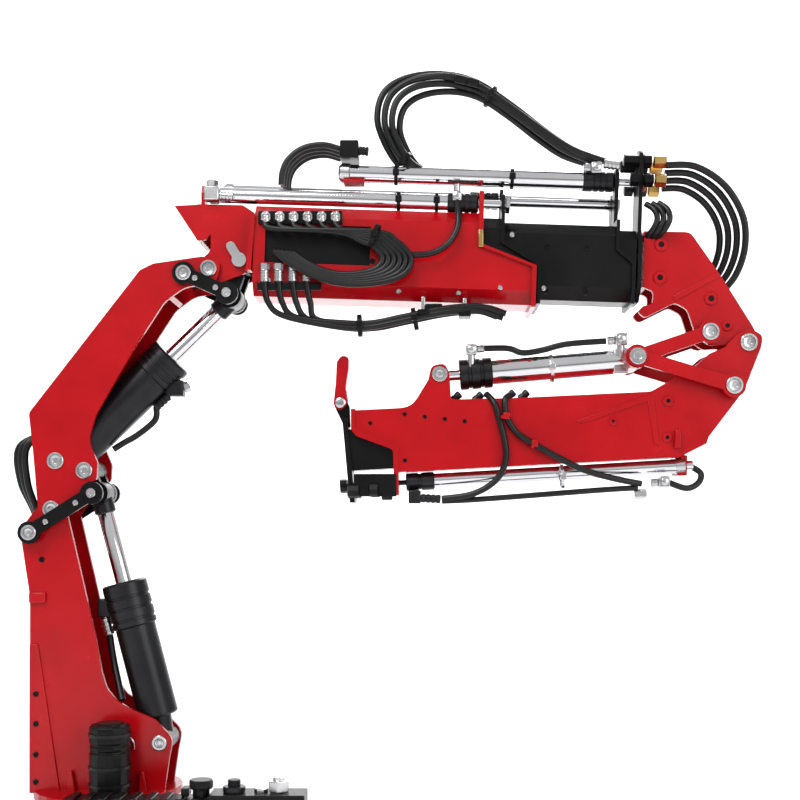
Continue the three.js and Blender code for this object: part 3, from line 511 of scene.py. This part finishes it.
def boom_ram(which, place, start, end, radius, gland_radius, gland, bore, body):
    """A chrome barrel lying on the boom, with a black gland at its front and an end cap at its back."""
    y, v = place
    length = end - start
    profile = [(0, radius - 0.7), (0.7, radius), (length - gland, radius), (length - gland, bore), (4, bore)]
    barrel = lathe(f"{which}_barrel", on_boom(start, y, v), on_boom(end, y, v), profile, body, "chrome", 48)
    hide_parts(f"boom_ram_{which}")
    ring = [(0, bore), (0, gland_radius - 0.4), (0.4, gland_radius)]
    for k in range(3):
        at = gland * (0.3 + 0.2 * k)
        ring += [(at, gland_radius), (at + 0.15, gland_radius - 0.35), (at + 0.7, gland_radius - 0.35),
                 (at + 0.85, gland_radius)]
    ring += [(gland - 0.6, gland_radius), (gland, gland_radius - 0.6), (gland, bore)]
    hoop(f"{which}_gland", on_boom(end - gland, y, v), on_boom(end, y, v), ring, body, "black_anodised", 48)
    cap = [(0, radius + 0.1), (0, radius + 0.5), (3.2, radius + 0.5), (3.6, radius + 0.1)]
    hoop(f"{which}_end_cap", on_boom(start + 1.2, y, v), on_boom(end, y, v), cap, body, "steel", 48)


def boom_rod(which, place, start, end, radius, lock, body):
    """A ram's rod with its lock nut against the plate of the next section."""
    y, v = place
    rod = lathe(f"{which}_rod", on_boom(start, y, v), on_boom(end, y, v),
                [(0, radius), (end - start - 0.4, radius), (end - start, radius - 0.4)], body, "chrome", 32)
    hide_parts(f"boom_rod_{which}")
    nut(f"{which}_lock_nut", on_boom(lock, y, v), on_boom(lock + 1.9, y, v), 3.6, body)


def make_cylinders():
    reach = math.dist(C1, D1) - 38
    big_cylinder("lift", D1, C1, barrel_profile(9.5, 47.6, 66.5, 8.2, 9.2), 4.6, reach, "lift_barrel",
                 "lift_piston")
    reach = math.dist(C2, D2) - 32
    big_cylinder("knuckle", D2, C2, barrel_profile(9.6, 50.5, 62, 8.8, 9.4), 5.2, reach,
                 "knuckle_barrel", "knuckle_piston")
    block("lift_port", (-4, -3.2, 94), (3.4, 3.2, 101.6), "lift_barrel", "black_anodised", 0.6)
    sleeve("lift_crimp", (-1.6, 0, 93.6), (0.4, 0, 86.6), 2.2, "lift_barrel")
    hose("lift_hose", [(0.4, 0, 87), (2, -1, 78), (4.4, -4, 70), (7.4, -8, 61)], 1.4, "lift_barrel")
    at = between(D2, C2, 55 / math.dist(D2, C2))
    block("knuckle_port", (at[0] + 3, -3.2, at[1] - 11.5), (at[0] + 10, 3.2, at[1] - 5), "knuckle_barrel",
          "black_anodised", 0.6)
    nut("knuckle_port_nut", (at[0] + 10, 0, at[1] - 8), (at[0] + 12.4, 0, at[1] - 7), 2.2, "knuckle_barrel")
    sleeve("knuckle_crimp", (at[0] + 3.4, 0, at[1] - 11), (at[0] - 2, 0, at[1] - 16), 2, "knuckle_barrel",
           "black_anodised")
    route = [(at[0] - 1.6, 0, at[1] - 15.7), (19, 0, 175), (12, 0, 169), (6, 0, 165.5), (2, 0, 163)]
    hose("knuckle_hose", route, 1.3, "knuckle_barrel")
    boom_ram("first", NEAR_RAM, -19, 90.9, 3.1, 3.9, 12.5, 1.9, "outer_boom")
    boom_rod("first", NEAR_RAM, 20, 103.6, 1.6, 101.9, "first_section")
    boom_ram("second", FAR_RAM, -15, 99.8, 3.1, 3.6, 12, 3, "first_section")
    boom_rod("second", FAR_RAM, 30, 150.6, 2.6, 148.5, "second_section")
    boom_ram("third", TOP_RAM, 33.4, 146.3, 3.6, 4.1, 12.6, 1.9, "second_section")
    boom_rod("third", TOP_RAM, 60, 159.8, 1.6, 157.9, "third_section")


def make_jib_cylinder():
    c3, d3 = (C3[0], 0, C3[1]), (D3[0], 0, D3[1])
    profile = [(3, 4.4), (3.3, 5.3), (57.6, 5.3), (57.6, 2.6), (12, 2.6)]
    tube = lathe("jib_tube", c3, d3, profile, "jib_barrel", "chrome", 48)
    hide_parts("jib_cylinder")
    gland = [(57.6, 2.6), (57.6, 6), (58, 6.4), (61, 6.4), (61.3, 5.9), (62.3, 5.9), (62.6, 6.4), (66, 6.4),
             (66.3, 5.9), (67.3, 5.9), (67.6, 6.4), (70.5, 6.4), (71, 5.9), (71, 2.6)]
    hoop("jib_gland", c3, d3, gland, "jib_barrel", "black_anodised", 48)
    x, z = between(C3, D3, 4.6 / math.dist(C3, D3))
    block("jib_end_block", (x - 3.4, -5, z - 5.2), (x + 2.4, 5, z + 5.2), "jib_barrel", "steel", 0.5)
    ring = [(0, 1.5), (0, 4.1), (0.3, 4.4), (20.5, 4.4), (20.8, 4.1), (20.8, 1.5)]
    hoop("jib_eye", (C3[0], -10.4, C3[1]), (C3[0], 0, C3[1]), ring, "jib_barrel", "red_paint")
    rod = lathe("jib_piston_rod", d3, c3, [(0.5, 2.3), (math.dist(C3, D3) - 34, 2.3)], "jib_piston", "chrome")
    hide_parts("jib_rod")
    ring = [(0, 2.3), (0, 3.2), (0.2, 3.4), (16, 3.4), (16.2, 3.2), (16.2, 2.3)]
    hoop("jib_rod_eye", (D3[0], -8.1, D3[1]), (D3[0], 0, D3[1]), ring, "jib_piston", "steel")
    elbow("jib_elbow_front", (149, -4, 203.4), "jib_barrel", cap=(1, 0, 0.12))
    lathe("jib_elbow_post", (149, -4, 196), (149, -4, 203), [(0, 1.5), (7, 1.5)], "jib_barrel", "steel", 24)
    elbow("jib_elbow_back", (210, -4, 207.6), "jib_barrel", cap=(-1, 0, -0.1), half=2.5)
    lathe("jib_elbow_back_post", (210, -4, 200), (210, -4, 207), [(0, 1.6), (7, 1.6)], "jib_barrel", "steel",
          24)
    route = [(154, -4, 204), (164, -4, 204), (170, -3, 202.3), (178, -3, 203.4), (188, -3.6, 205.8),
             (204, -4, 207)]
    hose("jib_cylinder_hose", route, 1.3, "jib_barrel")
    cable_tie("jib_cylinder_tie", (181.9, 0, 196.4), (1, 0, 0.08), 5.6, "jib_barrel", "steel", 1.2)


def make_jib_rams():
    length = 113
    for side, way in (("near", -1), ("far", 1)):
        y = 4.4 * way
        start = on_jib(1.4, y, -15.8)
        end = on_jib(10, y, -15.8)
        profile = [(110, 1.3), (0, 1.3), (0, 2.6), (0.3, 2.9), (length, 2.9), (length, 2), (117, 2)]
        tube = lathe(f"jib_ram_{side}_tube", start, end, profile, "jib", "chrome", 40)
        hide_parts(f"jib_ram_{side}")
        ring = [(0, 3), (0, 3.2), (0.4, 3.6), (5, 3.6), (5.2, 3.2), (6.2, 3.2), (6.4, 3.6), (11.2, 3.6),
                (11.6, 3.2), (11.6, 3)]
        hoop(f"jib_ram_{side}_gland", start, end, ring, "jib", "black_anodised", 40)
        back = on_jib(1.4 + length, y, -15.8)
        hoop(f"jib_ram_{side}_cap", back, on_jib(140, y, -15.8), [(-3, 3), (-3, 3.3), (0.6, 3.3), (0.6, 3)],
             "jib", "steel")


# ---- pins and plate details ---------------------------------------------------------------------
def make_pins():
    pin("link_pin_lower", A1, 16, 2, "column", (3, 15.3))
    pin("boom_pin_lower", P1, 13.2, 2.6, "column", (3.3, 12.75))
    pin("lift_foot_pin", D1, 11.6, 2, "column", (3, 10.65))
    pin("lift_link_pin", B1, 13.2, 2.6, "inner_boom", (3.3, 12.75))
    pin("knuckle_foot_pin", D2, 13.2, 2.6, "inner_boom", (3.3, 12.75))
    pin("link_pin_upper", A2, 16, 2, "inner_boom", (3, 15.3))
    pin("boom_pin_upper", P2, 13.4, 2.6, "inner_boom", (3.3, 12.75))
    pin("jib_link_pin_upper", A3, 13.4, 2.6, "third_section", (3.4, 12.8))
    pin("jib_pin", P3, 11.4, 2.6, "third_section", (3.5, 10.5))
    pin("jib_link_pin_lower", B3, 15.8, 2.6, "jib", (3.4, 15.05))
    pin("jib_rod_pin", D3, 11.4, 2, "jib", (3.1, 10.5))
    for name, place, body in (("lift", C1, "lift_link"), ("knuckle", C2, "knuckle_link")):
        stud(f"{name}_link_head", place, 15.9, body, 1.9, height=0.6)
    for name, a, b, body in (("lift", A1, C1, "lift_link"), ("knuckle", A2, C2, "knuckle_link")):
        for k, share in enumerate((0.27, 0.75)):
            stud(f"{name}_link_screw_{k + 1}", between(a, b, share), 15.6, body, 1.15, height=0.6)
    stud("jib_link_head", C3, 16, "jib_lower_link", 3.4, height=0.9)


def make_column_details():
    strip = [(-29.2, 24), (-29.2, 84), (-25.8, 84), (-16.8, 24)]
    for side, way in (("near", -1), ("far", 1)):
        plate(f"column_strip_{side}", strip, way * 10.6, way * 11.4, "column", "red_paint", 0.2)
        for k, x in enumerate((-12.2, 16.6)):
            rib = [(x - 1.6, 24), (x - 0.6, 33), (x + 0.6, 33), (x + 2.2, 24)]
            plate(f"column_rib_{side}_{k + 1}", rib, way * 10.6, way * 13.4, "column", "red_paint", 0.3)
    for k, z in enumerate((28.6, 39.6, 52, 64)):
        stud(f"column_strip_bolt_{k + 1}", (-26.6 + 0.02 * k, z), 11.4, "column", 1.1, "black_paint", 0.7)
    block("column_tab", (-29.3, -12.2, 100.6), (-22.6, -10.6, 104.8), "column", "red_paint", 0.4)
    route = [(8.6, -11.6, 42), (9.2, -13, 45.6), (11.4, -13, 46.6), (13, -13, 45), (13, -11.6, 42)]
    hose("column_loop", route, 0.6, "column", "steel")
    ring = [(0, 8.1), (0, 8.35), (1.2, 8.35), (1.2, 8.1)]
    for k, z in enumerate((29, 36, 48.8)):
        hoop(f"motor_band_{k + 1}", (5.4, -20, z), (5.4, -20, z + 1), ring, "column", "black_anodised", 48)
    lathe("motor_cap", (5.4, -20, 53.4), (5.4, -20, 54), [(0, 5), (0.4, 5), (0.7, 4.6)], "column",
          "black_anodised")
    stud("column_plate_bolt_upper", (-24.4, 118), 10.6, "column", 1.1, "black_paint", 0.7)
    for k in range(3):
        route = [(-24 + 2 * k, 0.5 - 3 * k, 170), (-36.4 + 2.6 * k, -1 - 3 * k, 164),
                 (-36.4 + 2.4 * k, -3 * k, 150),
                 (-30.6 + 1.6 * k, -3 * k, 137), (-24 + 1.6 * k, -3 * k, 118), (-20, -3 * k, 90)]
        hose(f"column_hose_{k + 1}", route, 1.35, "column")


def make_valve_details():
    for k in range(9):
        x = -4.6 + 5.9 * k
        if x < 48:
            block(f"beam_rib_{k + 1}", (x, -48, 29), (x + 3, -35.4, 29.9), "base", "black_paint", 0.3)
    knob = [(0, 4.2), (0.3, 4.5), (2.6, 4.5), (3, 4.1)]
    lathe("valve_knob_grip", (45.3, -41.5, 32.9), (45.3, -41.5, 40), knob, "base", "black_paint", 10)
    cap = [(0, 3.9), (0.4, 4.3), (2, 4.3), (2.3, 3.9)]
    lathe("valve_cap", (57.8, -41.5, 31.2), (57.8, -41.5, 40), cap, "base", "black_anodised", 14)
    lathe("valve_port", (68, -41.5, 31.2), (68, -41.5, 40), [(0, 2.6), (1.4, 2.6), (1.6, 2.2)], "base",
          "steel", 6)
    block("valve_clamp", (38, -44, 29.9), (41, -38, 33), "base", "black_paint", 0.5)
    for k, x in enumerate((52.5, 64, 81)):
        lathe(f"valve_face_plug_{k + 1}", (x, -48, 22), (x, -49, 22),
              [(0, 2.6), (0.8, 2.6), (1, 2.2), (1, 1.2), (0.5, 1.1)], "base", "steel", 6)


def make_boom_details():
    body = "outer_boom"
    block("fitting_rail", (63.4, -15.4, 252.2), (97, -13.9, 257.6), body, "black_paint", 0.4)
    for k in range(6):
        x = 66.6 + 5.55 * k
        nut(f"side_fitting_nut_{k + 1}", (x, -15.2, 254.9), (x + 0.2, -18.6, 254.5), 2.1, body)
        sleeve(f"side_fitting_{k + 1}", (x, -17.4, 256.6), (x + 0.4, -17.4, 252.4), 1.5, body, "steel", 2)
    block("window_rail", (63, -15.6, 225.8), (88.6, -14, 229), body, "black_paint", 0.4)
    for k in range(4):
        x = 66 + 5.6 * k
        nut(f"lower_fitting_nut_{k + 1}", (x, -15.6, 236.4), (x, -15.6, 233.6), 2.3, body)
        sleeve(f"lower_fitting_{k + 1}", (x, -15.6, 233.6), (x, -15.6, 229), 1.9, body, "steel", 3)
    for k, place in enumerate(((109, 249.2), (109, 237.6))):
        stud(f"window_screw_{k + 1}", place, 14, body, 1.1, "black_paint", 0.7)
    for k, (u, v) in enumerate(((100.6, -9.6), (84, -12.4), (60, -12.4), (8, -9.8))):
        x, _, z = on_boom(u, 0, v)
        stud(f"boom_screw_{k + 1}", (x, z), 14, body, 1.0, "steel", 0.6)
    block("wear_pad_upper", (151.4, -16.1, 243), (153.4, -12, 250), body, "brass", 0.3)
    cable_tie("side_tie", (110, -18.4, 246.6), (1, 0, -0.4), 4.6, body)
    cable_tie("lower_tie_1", (104, -14, 211.8), (1, 0, 0.05), 4, body)
    cable_tie("lower_tie_2", (126, -14, 214.4), (1, 0, 0.2), 4, body)
    for k, x in enumerate((129.4, 146)):
        z = 222.6 - 0.033 * (x - 129.4)
        block(f"hose_bracket_{k + 1}", (x - 0.8, -13.6, z - 6.4), (x + 0.8, -9, z + 1), body, "steel", 0.3)
        block(f"hose_clip_{k + 1}", (x - 2.4, -17.6, z - 7), (x + 2.4, -8.6, z - 4.6), body, "black_paint",
              0.4)
    block("underside_block", (130, -16, 217.4), (137, -8, 220.4), body, "black_paint", 0.5)
    block("rear_valve", (41.4, -13.6, 262.4), (47.4, -8, 268.2), body, "steel", 0.6)
    nut("rear_valve_nut", (44.4, -11, 268.2), (44.4, -11, 270.8), 2.4, body)
    sleeve("rear_valve_crimp", (47.4, -11, 264.6), (53, -11, 264.2), 1.9, body)
    elbow("first_ram_elbow", (143, -9.4, 264.6), body, cap=(0, 0, 1), half=1.9)
    route = [(143, -11, 262), (143.4, -14.6, 256), (142.8, -16.4, 250), (139, -17.6, 243.6),
             (132, -18.2, 239.8), (122, -18.4, 239.4)]
    hose("first_ram_hose", route, 1.25, body)
    for k, u in enumerate((58.6, 74)):
        cable_tie(f"ram_tie_{k + 1}", on_boom(u, -7, 25.3), (1, 0, -0.03), 3.3, body, "black_paint", 1.4)
    place = on_boom(35.4, 0, 37.7)
    block("ram_saddle", (place[0], -4.2, place[2] - 4.6), (place[0] + 8.6, 4.2, place[2] - 3.4),
          "second_section", "red_paint", 0.3)
    for k, u in enumerate((57, 104.6)):
        cable_tie(f"top_ram_tie_{k + 1}", on_boom(u, 0, 37.7), (1, 0, -0.03), 3.7, "second_section",
                  "black_paint", 1.4)
    for name, u, v in (("first_plate", 104.6, 12), ("first_plate_low", 118, -9)):
        x, _, z = on_boom(u, 0, v)
        stud(name, (x, z), 12.6, "first_section", 1.1, "steel", 0.6)


def make_extension_details():
    for k, (u, v) in enumerate(((119, -10), (119, 8), (135, 8), (135, -10))):
        x, _, z = on_boom(u, 0, v)
        stud(f"second_screw_{k + 1}", (x, z), 11.2, "second_section", 1.1, "black_paint", 0.7)
    for k, y in enumerate((-8, 8)):
        nut(f"bulkhead_low_brass_{k + 1}", on_boom(162, y, 37), on_boom(166.6, y, 37), 2.8, "third_section",
            "brass")
        nut(f"bulkhead_low_black_{k + 1}", on_boom(157.5, y, 37), on_boom(161.4, y, 37), 2.9,
            "third_section", "black_paint")
        nut(f"bulkhead_back_black_{k + 1}", on_boom(152, y, 37), on_boom(155.8, y, 37), 2.9, "third_section",
            "black_paint")
    for side, y in (("near", -4.6), ("far", 4.6)):
        rear = nut(f"union_{side}_rear", on_boom(149.6, y, 45.6), on_boom(155.8, y, 45.6), 2.7,
                   "third_section", "black_paint")
        nut(f"union_{side}_middle", on_boom(157.6, y, 45.6), on_boom(161, y, 45.6), 2.9, "third_section",
            "black_paint")
        nut(f"union_{side}_front", on_boom(161.8, y, 45.6), on_boom(167, y, 45.6), 2.8, "third_section",
            "brass")
        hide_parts(f"union_{side}")
    elbow("top_elbow", (200, -4, 277.4), "second_section", cap=(-1, 0, 0.02), half=2.3)
    sleeve("top_elbow_crimp", (203, -4, 279.4), (209.6, -4, 278.4), 1.9, "second_section")
    for k in range(3):
        start = 148 + 2.6 * k
        sleeve(f"loop_cover_{k + 1}", (start - 11, 1.6 - 3 * k, 317.4 - 1.6 * k),
               (start - 1, 1.6 - 3 * k, 315.8 - 2 * k), 1.7, "second_section", "black_paint", 1)
    cable_tie("top_loop_tie", (157, 0, 308), (1, 0, -0.62), 4.2, "second_section", "black_paint", 1.4)
    cable_tie("top_loop_low_tie", (120.6, 0, 280.4), (-1, 0, 0.9), 5, "second_section", "black_paint", 1.4)
    block("small_loop_clamp", (95.4, -6.4, 281.4), (103, 6.4, 288.6), "second_section", "black_paint", 0.6)
    sleeve("small_loop_plug", (103, -3, 285), (107, -3, 284.6), 1.9, "second_section", "black_anodised", 2)
    for k in range(3):
        x = 221.6 + 2.4 * k
        y = -8 - 0.8 * k
        points = [(x - 2, y, 262), (x + 1, y - 2.4, 259), (x + 2, y - 3, 255), (x, y - 2, 250.6),
                  (x - 3, y + 3, 248)]
        hose(f"bracket_hose_{k + 1}", points, 1.2, "third_section")


def make_jib_details():
    body = "third_section"
    for k, (x, z, radius) in enumerate(((225.7, 245.5, 2.7), (225.2, 232.1, 2.7), (245.9, 223.6, 2.7),
                                        (252.5, 212.6, 2.2))):
        ring = [(0, radius * 0.45), (0, radius), (0.5, radius), (0.8, radius - 0.3), (0.8, radius * 0.45)]
        for side, way in (("near", -1), ("far", 1)):
            hoop(f"bracket_boss_{side}_{k + 1}", (x, way * 8, z), (x, way * 9, z), ring, body, "red_paint")
            # The black disc inside each boss ring is painted shade: it stands in for the dark depth of the
            # hole.
            lathe(f"bracket_boss_hole_{side}_{k + 1}", (x, way * 8, z), (x, way * 9, z),
                  [(0, radius * 0.46), (0.3, radius * 0.46)], body, "black_paint", 24)
    band = [(231.4, 222.6), (249.4, 232.4), (248.2, 234.4), (230.4, 224.6)]
    plate("bracket_band", band, -8.5, -8, body, "red_paint", 0.15)
    body = "jib"
    for k, (x, z, radius) in enumerate(((228.1, 182, 2.2), (205.9, 173.9, 1.7), (227.7, 167.3, 2))):
        ring = [(0, radius * 0.4), (0, radius), (0.5, radius), (0.8, radius - 0.3), (0.8, radius * 0.4)]
        for side, way in (("near", -1), ("far", 1)):
            hoop(f"jib_boss_{side}_{k + 1}", (x, way * 10.4, z), (x, way * 12, z), ring, body, "red_paint")
            # The black disc inside each boss ring is painted shade: it stands in for the dark depth of the
            # hole.
            lathe(f"jib_boss_hole_{side}_{k + 1}", (x, way * 10.4, z), (x, way * 12, z),
                  [(0, radius * 0.42), (0.3, radius * 0.42)], body, "black_paint", 24)
    gusset = [(190.9, 173.9), (222, 185.2), (224.6, 164.6), (222.6, 164.4), (219.8, 182), (193.6, 173)]
    plate("jib_gusset", gusset, -10.9, -10.4, body, "red_paint", 0.15)
    for k, (x, z) in enumerate(((121.9, 176.6), (130, 175.6), (138.1, 174.7), (146.1, 173.8), (108, 173),
                                (122, 158))):
        stud(f"jib_screw_{k + 1}", (x, z), 10.4, body, 0.8, "black_paint", 0.5)
    lever = [(230.4, 163), (233.2, 163), (232.8, 170.4), (230.8, 170.4)]
    plate("clamp_lever", lever, -12.6, -10.4, body, "red_paint", 0.4)
    for k, x in enumerate((141, 150, 163, 168.6)):
        sleeve(f"jib_stub_{k + 1}", (x, -5, 182.4 + 0.8 * (k > 1)), (x + 3.4, -5, 185.4 + 0.8 * (k > 1)),
               1.6, body, "black_anodised", 1)
    long_hose = [(165.8, -8, 185), (162.6, -11.4, 183), (162.2, -12.4, 179), (163.4, -12.6, 174.2),
                 (167.4, -12.6, 168.6),
                 (175.9, -12.6, 163.3), (183.9, -12.6, 158.9), (194, -12.4, 154.1), (205.2, -11.4, 150.9),
                 (217.4, -9.4, 148.6)]
    hose("jib_hose_long", long_hose, 1.3, body)
    short_hose = [(154.9, -8, 185), (158, -11.6, 181), (159.8, -12.4, 174.6), (162, -12.8, 166),
                  (162.6, -12.8, 159),
                  (160.4, -12.8, 152.4), (155.4, -12.4, 147.4), (147.6, -11.4, 144), (137, -9, 142.6)]
    hose("jib_hose_short", short_hose, 1.3, body)
    hose("jib_hose_bottom", [(137, -8.6, 141.6), (150, -10, 142.2), (177, -10.4, 144.2), (200, -10, 146),
                             (216, -9, 147)], 1.2, body)
    cable_tie("jib_tie_1", (162.6, -12.5, 175.6), (0.25, 0, -1), 1.9, body, "red_paint", 1.4)
    cable_tie("jib_tie_2", (173.9, -12.5, 164.6), (1, 0, -0.6), 1.7, body, "red_paint", 1.4)
    cable_tie("jib_tie_3", (185.5, -8.4, 151.4), (1, 0, 0.06), 4.4, body, "steel", 1.2)
    elbow("jib_ram_elbow", (226.6, -8.6, 149.4), body, cap=(-1, 0, -0.1), half=2.3)
    nut("jib_ram_port", (219.6, -8.6, 144.6), (214.6, -8.6, 144.4), 2.1, body)
    lug = [(232.6, 152), (236.6, 152), (236.8, 160.2), (234.2, 160.6)]
    plate("jib_ram_lug", lug, -6.4, 6.4, body, "red_paint", 0.3)
    hose("jib_ram_loop", [(229, -8.6, 149), (236, -8.4, 146.8), (241, -7, 149), (242.4, -5, 153),
                          (238, -4.4, 156)], 1.3, body)
    block("jib_front_block", (123.4, -11, 140.6), (128.4, -5, 146), body, "black_anodised", 0.5)
    sleeve("jib_front_crimp", (128.4, -8.6, 142.8), (136.4, -9, 142.4), 1.8, body, "black_anodised")
    body = "jib_extension"
    for k, (x, z, long) in enumerate(((96.7, 145.7, 5), (105.4, 146.2, 4))):
        knob = [(0, 2.2), (0.4, 2.9), (long - 0.4, 2.9), (long, 2.2)]
        for side, way in (("near", -1), ("far", 1)):
            lathe(f"star_knob_{side}_{k + 1}", (x + 2, way * 10.2, z), (x + 12, way * 10.2, z), knob, body,
                  "black_paint", 8)
    for side, way in (("near", -1), ("far", 1)):
        block(f"knob_bar_{side}", (99, way * 10.2 - 1, 144.6), (103, way * 10.2 + 1, 147.2), body,
              "black_paint", 0.3)
    block("tip_fitting", (110.4, -11, 148), (114.6, -7.4, 152), body, "steel", 0.4)
    nut("tip_fitting_nut", (114.6, -9.2, 150), (117.8, -9.2, 150), 2, body)
    block("tip_black_block", (112.6, -11, 142), (117, -7, 146.4), body, "black_anodised", 0.5)
    block("tip_bracket", (101.4, -11.2, 143.4), (118.6, -10.4, 152.6), body, "black_paint", 0.3)
    pivot = [(0, 1.5), (0.2, 2.1), (1, 2.1), (1.3, 1.6), (1.3, 0.8), (0.7, 0.7)]
    for side, way in (("near", -1), ("far", 1)):
        lathe(f"hook_pivot_{side}", (95.6, way * 4.4, 181.7), (95.6, way * 6, 181.7), pivot, "hook_lever",
              "steel", 30)


make_camera()
make_hoses()
finish_cad()
make_cylinders()
make_jib_cylinder()
make_jib_rams()
make_pins()
make_column_details()
make_valve_details()
make_boom_details()
make_extension_details()
make_jib_details()
make_room()
